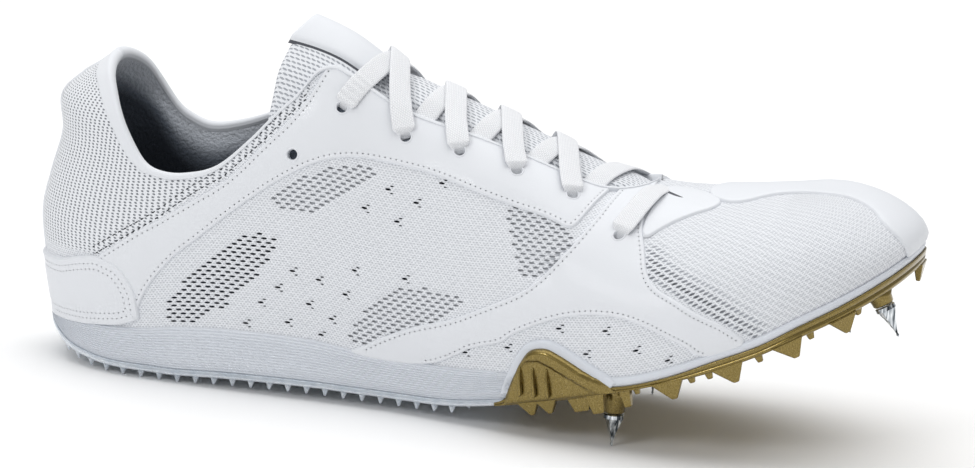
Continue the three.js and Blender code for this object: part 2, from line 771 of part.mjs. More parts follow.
const rubberTop = (x) => soleBottom(x) + rubberThickness;
const coreBottom = (x) => rubberTop(x) + clearance;
const midsoleTop = (x) => feather(x) - clearance;
const plateTop = (x) => midsoleTop(x) - rimHeight - clearance;
const rimBottom = (x) => plateTop(x) + clearance;
const wingInner = clearance;
const wingOuter = wingInner + wingThickness;
const flangeInner = wingOuter + clearance;
const rimInset = featherInset - wingOuter;

function outsoleSolid() {
  const slab = layer(soleBottom, rubberTop, [[0, 1.6], [1, 0.4]]);
  const behind = slab.subtract(forepart(clearance));
  const over = layer(rubberTop, feather, [[0, -1], [1, -1]]);
  return wasm.Manifold.union([behind, ...studPlaces().map(studSolid)]).subtract(over);
}

// The wing's outline over the side of the upper
const wingOutline = (raise) => {
  const top = WING.map(([share, up]) => {
    const [x, z] = onSide([share, up]);
    return [x, z + raise];
  });
  const under = (share, drop) => [along(share), feather(along(share)) - drop];
  return [...top, under(0.680, wingRoot), under(0.62, wingRoot), under(0.570, wingRoot)];
};

function midsoleSolid() {
  const heelLayer = layer(coreBottom, midsoleTop, [[0, 1.2], [0.3, 0.2], [0.8, 0.2], [1, 0.7]]);
  const wedge = heelLayer.subtract(forepart(clearance));
  const inner = plateLip + clearance;
  const overlap = 1;
  const front = forepart(clearance + overlap);
  const core = layer(coreBottom, midsoleTop, [[0, inner], [1, inner]]).intersect(front);
  const rim = layer(rimBottom, midsoleTop, [[0, rimInset], [1, rimInset + 0.4]]).intersect(front);
  const thinShell = shell(wingInner, wingOuter, -rimHeight);
  const wing = thinShell.intersect(sidePrism(wingOutline(wingMargin), -farSide, 0));
  return wasm.Manifold.union([wedge, core, rim, wing]);
}

function plateSolid() {
  const slab = layer(soleBottom, plateTop, [[0, 0.8], [0.4, 0], [1, 0]]);
  const hollow = layer(rubberTop, feather, [[0, plateLip], [1, plateLip]]);
  const tray = slab.intersect(forepart(0));
  const flangeFoot = -rimHeight - 2 * clearance - 1;
  const skin = shell(flangeInner, flangeInner + flangeThickness, flangeFoot);
  const flange = skin.intersect(sidePrism(wingOutline(0), -farSide, 0));
  const teeth = [];
  for (const side of [-1, 1]) {
    for (const { turn, size } of TEETH) teeth.push(tooth(side * turn, size));
  }
  teeth.push(tooth(1 - nudge, 1));
  const under = wasm.Manifold.union([tray, ...teeth, ...SPIKES.map(socketSolid)]).subtract(hollow);
  return wasm.Manifold.union([under, flange, ...flangeRibs()]);
}

function flangeRibs() {
  const ribDepth = 0.8;
  const ribWidth = 1.6;
  const ribTop = flangeInner + flangeThickness + ribDepth;
  const proud = shell(flangeInner + flangeThickness / 2, ribTop, -rimHeight);
  return FLANGE_RIBS.map((share) => {
    const x = along(share);
    const low = feather(x) - rimHeight;
    const high = onSide([share, 0.12])[1];
    return proud.intersect(sidePrism([
      [x - ribWidth / 2, low], [x + ribWidth / 2, low], [x + ribWidth / 2, high], [x - ribWidth / 2, high],
    ], -farSide, 0));
  });
}

function tongueSolid() {
  const under = upperWall + clearance;
  const body = shell(-under - tongueThickness, -under, insoleThickness + 1);
  const end = TONGUE_END.map(onSide);
  const side = sidePrism([...end, [along(0.72), farSide * 2], [along(0.72), 0]], -farSide, farSide);
  const half = throatHalfWidth + tongueOverlap;
  const steps = [0.22, 0.32, 0.42, 0.52, 0.62, 0.72];
  const width = (share) => half - tongueTaper * fade(share, 0.45, 0.72);
  const near = steps.map((share) => [along(share), ridgeY(along(share)) - width(share)]);
  const far = steps.slice().reverse().map((share) => [along(share), ridgeY(along(share)) + width(share)]);
  return body.intersect(side).intersect(planPrism([...near, ...far]));
}

function insoleSolid() {
  const inset = featherInset + upperWall + 0.5;
  return layer(feather, (x) => feather(x) + insoleThickness, [[0, inset], [1, inset]]);
}

// Colours and finishes
const paint = (color, roughness, metalness) => (
  new THREE.MeshStandardMaterial({ color, roughness, metalness })
);
const white = paint(0xf1f2f5, 0.8, 0);
const smoothWhite = paint(0xf6f7fa, 0.55, 0);
const foam = paint(0xeceff4, 0.6, 0);
const rubber = paint(0xb9c4d0, 0.5, 0);
const gold = paint(0x8f7430, 0.4, 0.8);
const steel = paint(0xc9ccd0, 0.25, 1);
const lining = paint(0x9aa2ab, 0.9, 0);

const shoe = new THREE.Group();

function addPiece(name, body, finish) {
  const mesh = new THREE.Mesh(geometryOf(body), finish);
  mesh.name = name;
  shoe.add(mesh);
}

addPiece('outsole', outsoleSolid(), rubber);
addPiece('midsole', midsoleSolid(), foam);
addPiece('spike_plate', plateSolid(), gold);
for (const place of SPIKES) addPiece(place.name, spikeSolid(place), steel);

const holes = eyeletCutters();
addPiece('upper', upperSolid().subtract(holes), white);
addPiece('tongue', tongueSolid(), white);
addPiece('insole', insoleSolid(), lining);

const cover = shell(clearance, clearance + overlayThickness, clearance);
const throat = throatCutter();
const lateral = (outline) => sidePrism(outline.map(onSide), -farSide, -lateralMargin);
const medial = (outline) => sidePrism(outline.map(onSide), medialMargin, farSide);
addPiece('heel_counter', cover.intersect(sidePrism(COUNTER.map(onSide), -farSide, farSide)), smoothWhite);
const panel = (region) => cover.intersect(region).subtract(throat).subtract(holes);
addPiece('eyestay_lateral', panel(lateral(EYESTAY)), smoothWhite);
addPiece('eyestay_medial', panel(medial(EYESTAY)), smoothWhite);
addPiece('strap_lateral', panel(lateral(STRAP)), smoothWhite);
addPiece('strap_medial', panel(medial(STRAP)), smoothWhite);
addPiece('toe_cap', cover.intersect(planPrism(TOE_CAP.map(onPlan))), smoothWhite);
addPiece('vamp_patch', cover.intersect(planPrism(VAMP_PATCH.map(onPlan))), smoothWhite);

const hidden = 0.45;
for (let i = 1; i < EYELETS.length - 2; i += 1) {
  const under = strap(EYELETS[i], EYELETS[i + 1], i === 1 ? -1 : -hidden, 1);
  const over = strap(EYELETS[i + 1], EYELETS[i], -1, hidden);
  addPiece(`lace_crossing_${i}`, under.add(over), smoothWhite);
}
const [fifth, front] = EYELETS.slice(-2);
addPiece('lace_strap', strap(fifth, front, -hidden, 1), smoothWhite);
addPiece('lace_bar', strap(front, LACE_END, -1, barEnd), smoothWhite);

export default shoe;
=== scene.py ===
# Looks of a track spike shoe for the right foot, in metres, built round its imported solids.
# X runs from heel to toe, Y to the medial side and Z up; the origin is the tip of the heel's centre stud.
import math
import bpy
import numpy as np
from mathutils import Matrix, Vector
from mathutils.geometry import delaunay_2d_cdt

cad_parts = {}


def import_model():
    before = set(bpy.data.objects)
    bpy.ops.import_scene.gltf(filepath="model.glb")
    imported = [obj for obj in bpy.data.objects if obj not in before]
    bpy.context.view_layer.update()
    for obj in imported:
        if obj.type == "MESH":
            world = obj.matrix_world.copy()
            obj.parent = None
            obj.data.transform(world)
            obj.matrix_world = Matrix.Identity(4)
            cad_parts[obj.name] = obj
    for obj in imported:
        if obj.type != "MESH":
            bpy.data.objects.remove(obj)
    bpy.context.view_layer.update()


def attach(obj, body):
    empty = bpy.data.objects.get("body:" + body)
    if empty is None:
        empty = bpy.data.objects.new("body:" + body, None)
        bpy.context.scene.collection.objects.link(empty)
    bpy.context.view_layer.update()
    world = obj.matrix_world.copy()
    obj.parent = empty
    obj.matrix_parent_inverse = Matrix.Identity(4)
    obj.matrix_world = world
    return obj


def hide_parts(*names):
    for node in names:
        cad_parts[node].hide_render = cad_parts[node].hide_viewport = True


MM = 0.001

# Driving sizes of the last
SHOE_LENGTH = 275 * MM
ORIGIN_SHARE = 0.12
BALL_WIDTH = 91 * MM
TOE_SPRING = 57 * MM
HEEL_STACK = 14 * MM
INSTEP_HEIGHT = 95 * MM
COLLAR_HEIGHT = 97.5 * MM
HEEL_REACH = 40 * MM
TOE_REACH = 41 * MM

# Walls and layers
CLEARANCE = 0.3 * MM
UPPER_WALL = 2 * MM
COLLAR_PADDING = 4.5 * MM
FEATHER_INSET = 1.5 * MM
RUBBER_THICKNESS = 2 * MM
RIM_HEIGHT = 2.3 * MM
INSOLE_THICKNESS = 3 * MM
TONGUE_THICKNESS = 3 * MM
THROAT_HALF_WIDTH = 17 * MM
CORNER_BLEND = 6 * MM
STUD_HEIGHT = 2.6 * MM


def along(share):
    return (share - ORIGIN_SHARE) * SHOE_LENGTH


HEEL_CENTRE = along(0.138)
TOE_CENTRE = along(0.847)
PLATE_REAR = along(0.555)
THROAT_BACK = along(0.309)
THROAT_FRONT = along(0.691)
COLLAR_FADE_START = along(0.25)

# Plan of the sole's edge: place, lateral and medial half widths as shares of the ball width
PLAN = np.array([
    (0.138, 0.341, 0.341), (0.211, 0.346, 0.337), (0.302, 0.343, 0.313), (0.375, 0.341, 0.296),
    (0.447, 0.352, 0.300), (0.520, 0.396, 0.338), (0.593, 0.434, 0.396), (0.665, 0.469, 0.456),
    (0.720, 0.495, 0.484), (0.775, 0.497, 0.500), (0.847, 0.473, 0.495),
])
LATERAL, MEDIAL = 1, 2

# Heights along the shoe: place, underside, stack, ridge and the ridge's lean
HEIGHTS = np.array([
    (0.000, 0.120, 0.32, 1.35, 0.000), (0.033, 0.042, 0.67, 1.35, 0.000),
    (0.065, 0.012, 0.83, 1.35, 0.000), (0.091, 0.000, 0.91, 1.35, 0.000),
    (0.138, 0.000, 1.00, 1.35, 0.000), (0.171, 0.000, 1.11, 1.34, 0.000),
    (0.229, 0.018, 1.14, 1.28, 0.000), (0.327, 0.032, 1.10, 1.19, 0.003),
    (0.404, 0.032, 0.95, 1.06, 0.008), (0.484, 0.044, 0.90, 0.98, 0.020),
    (0.549, 0.095, 0.79, 0.91, 0.038), (0.633, 0.198, 0.51, 0.82, 0.068),
    (0.702, 0.302, 0.34, 0.79, 0.100), (0.753, 0.386, 0.35, 0.79, 0.120),
    (0.800, 0.472, 0.44, 0.803, 0.130), (0.847, 0.579, 0.44, 0.82, 0.132),
    (0.891, 0.700, 0.48, 0.826, 0.132), (0.931, 0.802, 0.50, 0.826, 0.132),
    (0.971, 0.910, 0.52, 0.826, 0.132), (1.000, 1.000, 0.50, 0.826, 0.132),
])
RISE, STACK, RIDGE, LEAN = 1, 2, 3, 4

# The collar's edge from the back seam to the throat, as shares of the collar height
TOPLINE = np.array([
    (0.040, 1.032, 1.032), (0.069, 0.908, 0.940), (0.098, 0.775, 0.795), (0.120, 0.700, 0.749),
    (0.142, 0.675, 0.733), (0.171, 0.680, 0.749), (0.207, 0.718, 0.788), (0.240, 0.808, 0.841),
    (0.276, 0.928, 0.928), (0.309, 1.014, 1.010),
])

# Section profiles from the sole's edge to the ridge: shares of the way in, per side, and of the way up
PROFILE_PLACES = (0.000, 0.138, 0.309, 0.484, 0.720, 0.847, 1.000)
PROFILE_LATERAL = (
    (0, -0.06, -0.15, -0.10, -0.02, -0.045, 0.12, 0.37, 1),
    (0, -0.04, -0.07, -0.05, 0.02, 0.12, 0.25, 0.45, 1),
    (0, -0.04, -0.06, -0.03, 0.02, 0.09, 0.20, 0.45, 1),
    (0, -0.03, -0.045, -0.02, 0.04, 0.13, 0.26, 0.50, 1),
    (0, -0.02, -0.02, 0.01, 0.07, 0.17, 0.33, 0.58, 1),
    (0, -0.02, -0.015, 0.02, 0.09, 0.20, 0.36, 0.60, 1),
    (0, -0.02, 0.00, 0.05, 0.13, 0.23, 0.36, 0.56, 1),
)
PROFILE_MEDIAL = (
    (0, -0.06, -0.15, -0.10, -0.02, -0.045, 0.12, 0.37, 1),
    (0, -0.04, -0.07, -0.05, 0.01, 0.09, 0.22, 0.43, 1),
    (0, -0.07, -0.13, -0.12, -0.05, 0.04, 0.17, 0.43, 1),
    (0, -0.07, -0.12, -0.10, -0.03, 0.08, 0.23, 0.48, 1),
    (0, -0.02, -0.03, -0.01, 0.04, 0.13, 0.28, 0.55, 1),
    (0, -0.02, -0.02, 0.00, 0.06, 0.16, 0.32, 0.58, 1),
    (0, -0.02, 0.00, 0.05, 0.13, 0.23, 0.36, 0.56, 1),
)
PROFILE_UP = (
    (0, 0.09, 0.26, 0.38, 0.50, 0.60, 0.665, 0.735, 1),
    (0, 0.09, 0.22, 0.34, 0.45, 0.55, 0.65, 0.80, 1),
    (0, 0.10, 0.24, 0.39, 0.52, 0.64, 0.76, 0.90, 1),
    (0, 0.10, 0.24, 0.40, 0.55, 0.69, 0.82, 0.92, 1),
    (0, 0.12, 0.28, 0.43, 0.57, 0.70, 0.82, 0.93, 1),
    (0, 0.13, 0.30, 0.46, 0.61, 0.74, 0.86, 0.95, 1),
    (0, 0.15, 0.32, 0.50, 0.68, 0.84, 0.98, 1.07, 1),
)
PROFILE_STEPS = len(PROFILE_UP[0]) - 1


# Smooth curves through the tables
def cubic(start, end, slope_start, slope_end, u):
    u2 = u * u
    u3 = u2 * u
    first = (2 * u3 - 3 * u2 + 1) * start + (u3 - 2 * u2 + u) * slope_start
    return first + (3 * u2 - 2 * u3) * end + (u3 - u2) * slope_end


def smooth_rows(places, values, share):
    last = len(places) - 1
    share = np.clip(share, places[0], places[-1])
    i = np.clip(np.searchsorted(places, share) - 1, 0, last - 1)
    before = np.maximum(np.arange(last + 1) - 1, 0)
    after = np.minimum(np.arange(last + 1) + 1, last)
    slope = (values[after] - values[before]) / (places[after] - places[before])
    width = places[i + 1] - places[i]
    u = (share - places[i]) / width
    return cubic(values[i], values[i + 1], slope[i] * width, slope[i + 1] * width, u)


def smooth(table, column, share):
    return smooth_rows(table[:, 0], table[:, column], share)


def share_at(x):
    return x / SHOE_LENGTH + ORIGIN_SHARE


def half_width(x, side):
    lateral = smooth(PLAN, LATERAL, share_at(x))
    medial = smooth(PLAN, MEDIAL, share_at(x))
    return BALL_WIDTH * np.where(side < 0, lateral, medial)


def sole_bottom(x):
    return STUD_HEIGHT + TOE_SPRING * smooth(HEIGHTS, RISE, share_at(x))


def feather(x):
    return sole_bottom(x) + HEEL_STACK * smooth(HEIGHTS, STACK, share_at(x))


def ridge_height(x):
    return INSTEP_HEIGHT * smooth(HEIGHTS, RIDGE, share_at(x))


def ridge_y(x):
    return BALL_WIDTH * smooth(HEIGHTS, LEAN, share_at(x))


def topline(x, side):
    lateral = smooth(TOPLINE, LATERAL, share_at(x))
    medial = smooth(TOPLINE, MEDIAL, share_at(x))
    return COLLAR_HEIGHT * np.where(side < 0, lateral, medial)


def fade(x, start, end):
    u = np.clip((x - start) / (end - start), 0, 1)
    return u * u * (3 - 2 * u)


def mix(start, end, share):
    return start + (end - start) * share


def side_of(values):
    return np.where(values < 0, -1.0, 1.0)


def raised(share, up):
    """Places in the side view, from shares of the length and of the way from the edge to the ridge."""
    x = along(share)
    low = feather(x)
    return x, low + (ridge_height(x) - low) * up


def lengths_along(points):
    return np.concatenate([[0], np.cumsum(np.linalg.norm(np.diff(points, axis=0), axis=1))])


def throat_half(x):
    front = THROAT_FRONT - THROAT_HALF_WIDTH
    reach = np.clip((x - front) / THROAT_HALF_WIDTH, 0, 1)
    return THROAT_HALF_WIDTH * np.sqrt(1 - reach * reach)


# The sole's edge in plan: turns run from -1 to 1, negative on the lateral side, 0 at the heel's back
HEEL_TURN = 0.15
TOE_TURN = 0.8


def toe_angle(q):
    return np.clip((q - TOE_TURN) / (1 - TOE_TURN), 0, 1) * np.pi / 2


def edge(turn, inset):
    turn = np.where(turn > 1, turn - 2, np.where(turn < -1, turn + 2, turn))
    side = side_of(turn)
    q = np.abs(turn)
    heel = np.clip(q / HEEL_TURN, 0, 1) * np.pi / 2
    toe = toe_angle(q)
    x = mix(HEEL_CENTRE, TOE_CENTRE, np.clip((q - HEEL_TURN) / (TOE_TURN - HEEL_TURN), 0, 1))
    wide = half_width(x, side)
    middle = BALL_WIDTH * HEIGHTS[-1, LEAN]
    in_heel = q < HEEL_TURN
    in_toe = q > TOE_TURN
    x = np.where(in_heel, HEEL_CENTRE - (HEEL_REACH - inset) * np.cos(heel), x)
    x = np.where(in_toe, TOE_CENTRE + (TOE_REACH - inset) * np.sin(toe), x)
    y = np.where(in_heel, side * (wide - inset) * np.sin(heel), side * (wide - inset))
    y = np.where(in_toe, middle + side * (wide - side * middle - inset) * np.cos(toe), y)
    return x, y, side


def spine(x):
    x = np.clip(x, HEEL_CENTRE, TOE_CENTRE)
    return x, ridge_y(x), ridge_height(x)


def section_share(columns, share, level, flat_top):
    places = np.array(PROFILE_PLACES)
    rows = np.array(columns, float)
    values = np.stack([smooth_rows(places, rows[:, k], share) for k in range(PROFILE_STEPS + 1)])
    at = level * PROFILE_STEPS
    i = np.clip(np.floor(at).astype(int), 0, PROFILE_STEPS - 1)
    which = np.arange(len(share))
    before, start, end, after = (
        values[np.clip(i + k, 0, PROFILE_STEPS), which] for k in (-1, 0, 1, 2)
    )
    slope_start = np.where(i == 0, end - start, (end - before) / 2)
    top_slope = 0 if flat_top else end - start
    slope_end = np.where(i == PROFILE_STEPS - 1, top_slope, (after - start) / 2)
    return cubic(start, end, slope_start, slope_end, at - i)


def last_point(turn, level):
    """Points on the last, with no wall."""
    x, y, side = edge(turn, FEATHER_INSET)
    top_x, top_y, top_z = spine(x)
    share = share_at(x)
    lateral = section_share(PROFILE_LATERAL, share, level, False)
    medial = section_share(PROFILE_MEDIAL, share, level, False)
    inward = np.where(side < 0, lateral, medial)
    up = section_share(PROFILE_UP, share, level, True)
    low = feather(x)
    return np.stack([
        x + (top_x - x) * inward,
        y + (top_y - y) * inward,
        low + (top_z - low) * up,
    ], axis=1)


NUDGE = 0.004
RIDGE_LEVEL = 0.999
TINY = 1e-12


def unit(vectors):
    return vectors / np.maximum(np.linalg.norm(vectors, axis=1, keepdims=True), TINY)


def outward(turn, level):
    around = last_point(turn + NUDGE, level) - last_point(turn - NUDGE, level)
    low, high = np.maximum(level - NUDGE, 0), np.minimum(level + NUDGE, 1)
    upward = last_point(turn, high) - last_point(turn, low)
    normal = unit(np.cross(upward, around))
    normal[level < NUDGE, 2] = 0
    x = np.clip(edge(turn, FEATHER_INSET)[0], HEEL_CENTRE, TOE_CENTRE)
    slope = (ridge_height(x + MM) - ridge_height(x - MM)) / (2 * MM)
    ridge = np.stack([-slope, 0 * slope, 1 + 0 * slope], axis=1)
    return unit(np.where((level > RIDGE_LEVEL)[:, None], ridge, normal))


def grown(turn, level, grow):
    turn, level, grow = np.broadcast_arrays(
        np.asarray(turn, float), np.asarray(level, float), np.asarray(grow, float))
    return last_point(turn, level) + outward(turn, level) * grow[:, None]


LOWEST_CUT = 0.3
CUT_ROUNDS = 26


def bisect(count, rising):
    low, high = np.full(count, LOWEST_CUT), np.ones(count)
    for _ in range(CUT_ROUNDS):
        middle = (low + high) / 2
        below = rising(middle) < 0
        low = np.where(below, middle, low)
        high = np.where(below, high, middle)
    return low


def cut_at(turn):
    """Where the collar or the throat cuts each section."""
    x, _, side = edge(turn, FEATHER_INSET)

    def over_collar(level):
        p = last_point(turn, level)
        return p[:, 2] - topline(p[:, 0], side)

    def past_throat(level):
        p = last_point(turn, level)
        return throat_half(p[:, 0]) - np.abs(p[:, 1] - ridge_y(p[:, 0]))

    share = fade(x, THROAT_BACK - CORNER_BLEND, THROAT_BACK + CORNER_BLEND)
    cut = mix(bisect(len(turn), over_collar), bisect(len(turn), past_throat), share)
    return np.where(spine(x)[0] >= THROAT_FRONT, 1.0, cut)


def turn_at(x, side):
    return side * mix(HEEL_TURN, TOE_TURN, (x - HEEL_CENTRE) / (TOE_CENTRE - HEEL_CENTRE))


# Flat places on the last: length round the shoe and height up the section
TURNS = np.linspace(-1, 1, 1201)
LEVELS = np.linspace(0, 1, 81)
# The row of levels along which lengths round the shoe are measured
LENGTH_LEVEL = 24


def make_flat_tables():
    turn = np.repeat(TURNS, len(LEVELS))
    level = np.tile(LEVELS, len(TURNS))
    points = last_point(turn, level).reshape(len(TURNS), len(LEVELS), 3)
    steps = np.linalg.norm(np.diff(points, axis=1), axis=2)
    heights = np.concatenate([np.zeros((len(TURNS), 1)), np.cumsum(steps, axis=1)], axis=1)
    line = points[:, LENGTH_LEVEL]
    lengths = lengths_along(line)
    lengths -= np.interp(0, TURNS, lengths)
    return lengths, heights


LENGTHS, ROW_HEIGHTS = make_flat_tables()
CUTS = cut_at(TURNS)


def row_heights(turn):
    at = (turn + 1) / 2 * (len(TURNS) - 1)
    i = np.clip(np.floor(at).astype(int), 0, len(TURNS) - 2)
    share = (at - i)[:, None]
    return ROW_HEIGHTS[i] * (1 - share) + ROW_HEIGHTS[i + 1] * share


def height_of(turn, level):
    rows = row_heights(turn)
    at = np.clip(level, 0, 1) * (len(LEVELS) - 1)
    j = np.clip(np.floor(at).astype(int), 0, len(LEVELS) - 2)
    which = np.arange(len(turn))
    return mix(rows[which, j], rows[which, j + 1], at - j)


def level_of(turn, height):
    rows = row_heights(turn)
    height = np.clip(height, 0, rows[:, -1])
    j = np.clip((rows <= height[:, None]).sum(axis=1) - 1, 0, len(LEVELS) - 2)
    which = np.arange(len(turn))
    low, high = rows[which, j], rows[which, j + 1]
    return (j + (height - low) / (high - low)) / (len(LEVELS) - 1)


def cut_of(turn):
    return np.interp(turn, TURNS, CUTS)


def length_of(turn):
    return np.interp(turn, TURNS, LENGTHS)


# Soft troughs in the upper, the same on both sides: start and end as shares of the shoe's length
# round it and of the instep height up it, then half the width and the depth
CREASES = (
    ((0.075, 0.27), (0.150, 0.16), 7 * MM, 0.45 * MM),
    ((0.130, 0.60), (0.190, 0.40), 8 * MM, 0.7 * MM),
    ((0.240, 0.44), (0.300, 0.34), 7 * MM, 0.5 * MM),
    ((0.330, 0.50), (0.420, 0.30), 9 * MM, 0.6 * MM),
    ((0.430, 0.82), (0.470, 0.66), 6 * MM, 0.45 * MM),
    ((0.520, 0.45), (0.580, 0.22), 9 * MM, 0.6 * MM),
    ((0.640, 0.52), (0.690, 0.34), 6 * MM, 0.5 * MM),
    ((0.700, 0.30), (0.740, 0.08), 7 * MM, 0.45 * MM),
    ((0.790, 0.42), (0.830, 0.12), 6 * MM, 0.6 * MM),
    ((0.860, 0.36), (0.890, 0.12), 6 * MM, 0.5 * MM),
)


CREASE_START = 8 * MM


def crease_depth(flat):
    """How far the soft troughs sink the upper at flat places."""
    places = np.abs(flat)
    depth = np.zeros(len(flat))
    for start, end, half, most in CREASES:
        line = np.array((start, end)) * (SHOE_LENGTH, INSTEP_HEIGHT)
        along_line = line[1] - line[0]
        share = np.clip((places - line[0]) @ along_line / (along_line @ along_line), 0, 1)
        away = np.linalg.norm(places - line[0] - share[:, None] * along_line, axis=1) / half
        depth += most * np.exp(-away ** 2)
    return depth * fade(flat[:, 1], 0, CREASE_START)


def on_last(flat, grow):
    """Points over the last at flat places; heights below zero drop straight down."""
    turn = np.interp(flat[:, 0], LENGTHS, TURNS)
    level = level_of(turn, flat[:, 1])
    grow = grow - crease_depth(flat)
    points = grown(turn, level, grow)
    points[:, 2] += np.minimum(flat[:, 1], 0)
    return points


def top_height_at(turn):
    return height_of(turn, cut_of(turn))


def top_height(flat_length):
    return top_height_at(np.interp(flat_length, LENGTHS, TURNS))


SOLVE_ROUNDS = 14
SOLVE_STEP = 0.002
MOST_TURN = 0.03
MOST_LEVEL = 0.1
HIGHEST_LEVEL = 0.995
FLATTEST = 1e-6


def find_turns(target, axes, side, start_turn, start_level):
    """Turns and levels whose points on the last have the given pair of coordinates."""
    turn, level = start_turn.copy(), start_level.copy()
    step = SOLVE_STEP
    for _ in range(SOLVE_ROUNDS):
        here = last_point(turn, level)[:, axes]
        by_turn = (last_point(turn + step, level)[:, axes] - here) / step
        by_level = (last_point(turn, np.minimum(level + step, 1))[:, axes] - here) / step
        miss = target - here
        determinant = by_turn[:, 0] * by_level[:, 1] - by_turn[:, 1] * by_level[:, 0]
        determinant = np.where(np.abs(determinant) < FLATTEST, FLATTEST, determinant)
        move_turn = (miss[:, 0] * by_level[:, 1] - miss[:, 1] * by_level[:, 0]) / determinant
        move_level = (by_turn[:, 0] * miss[:, 1] - by_turn[:, 1] * miss[:, 0]) / determinant
        turn = turn + np.clip(move_turn, -MOST_TURN, MOST_TURN)
        level = np.clip(level + np.clip(move_level, -MOST_LEVEL, MOST_LEVEL), 0, HIGHEST_LEVEL)
        turn = side * np.clip(side * turn, SOLVE_STEP, 1 - SOLVE_STEP)
    return turn, level


# How far a search may start past the heel and toe centres, and up the section; how far panels
# reach below the sole's edge and over the collar's
OUTSIDE = 20 * MM
SEARCH_START = (0.02, 0.98)
BELOW_EDGE = 1.5 * MM
OVER_EDGE = 9 * MM


def side_flat(outline, side):
    """Flat places of an outline given as shares of the length and of the height in the side view."""
    share, up = np.array(outline, float).T
    x, z = raised(share, np.maximum(up, 0))
    start = turn_at(np.clip(x, HEEL_CENTRE - OUTSIDE, TOE_CENTRE + OUTSIDE), side)
    level = np.clip(up, *SEARCH_START)
    turn, level = find_turns(np.stack([x, z], axis=1), [0, 2], side, start, level)
    height = height_of(turn, level)
    height = np.where(up < 0, -BELOW_EDGE, np.where(up > 1, top_height_at(turn) + OVER_EDGE, height))
    return np.stack([length_of(turn), height], axis=1)


# Panel outlines in the side view: shares of the length and of the height from the sole's edge to the ridge
HEM = -0.05
OVER_TOP = 1.1
COUNTER = (
    (0.132, HEM), (0.126, 0.09), (0.121, 0.12), (0.113, 0.15), (0.101, 0.18), (0.087, 0.19),
    (0.073, 0.20), (0.050, 0.19), (0.030, 0.175), (0.018, 0.165),
)
EYESTAY = (
    (0.066, 0.185), (0.090, 0.150), (0.112, 0.05), (0.124, 0.03), (0.136, 0.12), (0.166, 0.21),
    (0.194, 0.27), (0.242, 0.40), (0.285, 0.51), (0.329, 0.61), (0.373, 0.69), (0.412, 0.73), (0.467, 0.75),
    (0.543, 0.75), (0.596, 0.77), (0.622, 0.75), (0.632, 0.83), (0.645, 0.93), (0.655, OVER_TOP),
    (0.327, OVER_TOP), (0.308, 0.80), (0.295, 0.73), (0.281, 0.67), (0.261, 0.60), (0.239, 0.52),
    (0.218, 0.45), (0.190, 0.39), (0.151, 0.32), (0.127, 0.29), (0.104, 0.25),
)
STRAP = (
    (0.370, HEM), (0.391, 0.02), (0.416, 0.08), (0.454, 0.15), (0.493, 0.20), (0.530, 0.28),
    (0.555, 0.34), (0.579, 0.41), (0.597, 0.50), (0.611, 0.59), (0.624, 0.67), (0.638, 0.78),
    (0.649, 0.88), (0.661, OVER_TOP), (0.690, OVER_TOP), (0.694, 0.86), (0.706, 0.76), (0.716, 0.61),
    (0.731, 0.53), (0.753, 0.46), (0.783, 0.32), (0.813, 0.18), (0.843, HEM), (0.790, HEM),
    (0.770, 0.12), (0.746, 0.22), (0.722, 0.31), (0.698, 0.36), (0.674, 0.37), (0.651, 0.36),
    (0.627, 0.33), (0.604, 0.28), (0.569, 0.19), (0.559, 0.14), (0.522, 0.10), (0.508, 0.06),
    (0.465, HEM),
)

# Eyelets from the collar forward: place along the shoe and share of the way up to the throat's edge
EYELETS = (
    (0.295, 0.74), (0.343, 0.89), (0.418, 0.90), (0.481, 0.91), (0.547, 0.92), (0.612, 0.92),
    (0.675, 0.76),
)
EYELET_RADIUS = 1.7 * MM
OVERLAY_THICKNESS = 0.9 * MM
ROUNDING = 0.7 * MM

# Flat places on the lateral cloth: shares of the shoe's length round it and of the instep height up it
MESH_WINDOWS = (
    ((-0.244, 0.116), (-0.331, 0.358), (-0.382, 0.305), (-0.287, 0.006), (-0.244, 0.006)),
    ((-0.345, 0.447), (-0.411, 0.575), (-0.480, 0.631), (-0.471, 0.567), (-0.422, 0.442),
     (-0.382, 0.405)),
    ((-0.495, 0.238), (-0.451, 0.017), (-0.487, 0.020), (-0.607, 0.221), (-0.565, 0.256)),
    ((-0.625, 0.564), (-0.669, 0.540), (-0.720, 0.488), (-0.702, 0.381), (-0.662, 0.293),
     (-0.647, 0.437)),
)
HOLE_CLUSTERS = (
    (-0.388, 0.224), (-0.372, 0.163), (-0.353, 0.105), (-0.419, 0.208), (-0.461, 0.268), (-0.409, 0.121),
    (-0.452, 0.181), (-0.336, 0.027), (-0.385, 0.047), (-0.437, 0.087), (-0.425, 0.023), (-0.491, 0.552),
    (-0.466, 0.477), (-0.525, 0.523), (-0.505, 0.453), (-0.552, 0.598), (-0.521, 0.272), (-0.601, 0.056),
    (-0.652, 0.086), (-0.711, 0.164), (-0.766, 0.158), (-0.804, 0.084), (-0.842, 0.025), (-0.745, 0.081),
)
HEEL_MESH_EDGE = (
    (-0.154, 0.239), (-0.185, 0.296), (-0.232, 0.378), (-0.271, 0.456), (-0.300, 0.504), (-0.343, 0.635),
    (-0.384, 0.779),
)
RIM_BAND_EDGE = (
    (0.0, 0.925), (0.042, 0.873), (0.098, 0.774), (0.127, 0.698), (0.159, 0.623), (0.182, 0.556),
    (0.201, 0.518), (0.229, 0.497), (0.264, 0.493),
)
DARK_LINES = (
    ((-0.802, 0.407), (-0.815, 0.346), (-0.873, 0.196), (-0.936, 0.020)),
    ((-0.706, 0.371), (-0.730, 0.403), (-0.760, 0.408), (-0.778, 0.385), (-0.804, 0.304)),
)
FLAT_SIZE = np.array([SHOE_LENGTH, INSTEP_HEIGHT])
MEDIAL_SHARE = LENGTHS[-1] / -LENGTHS[0]

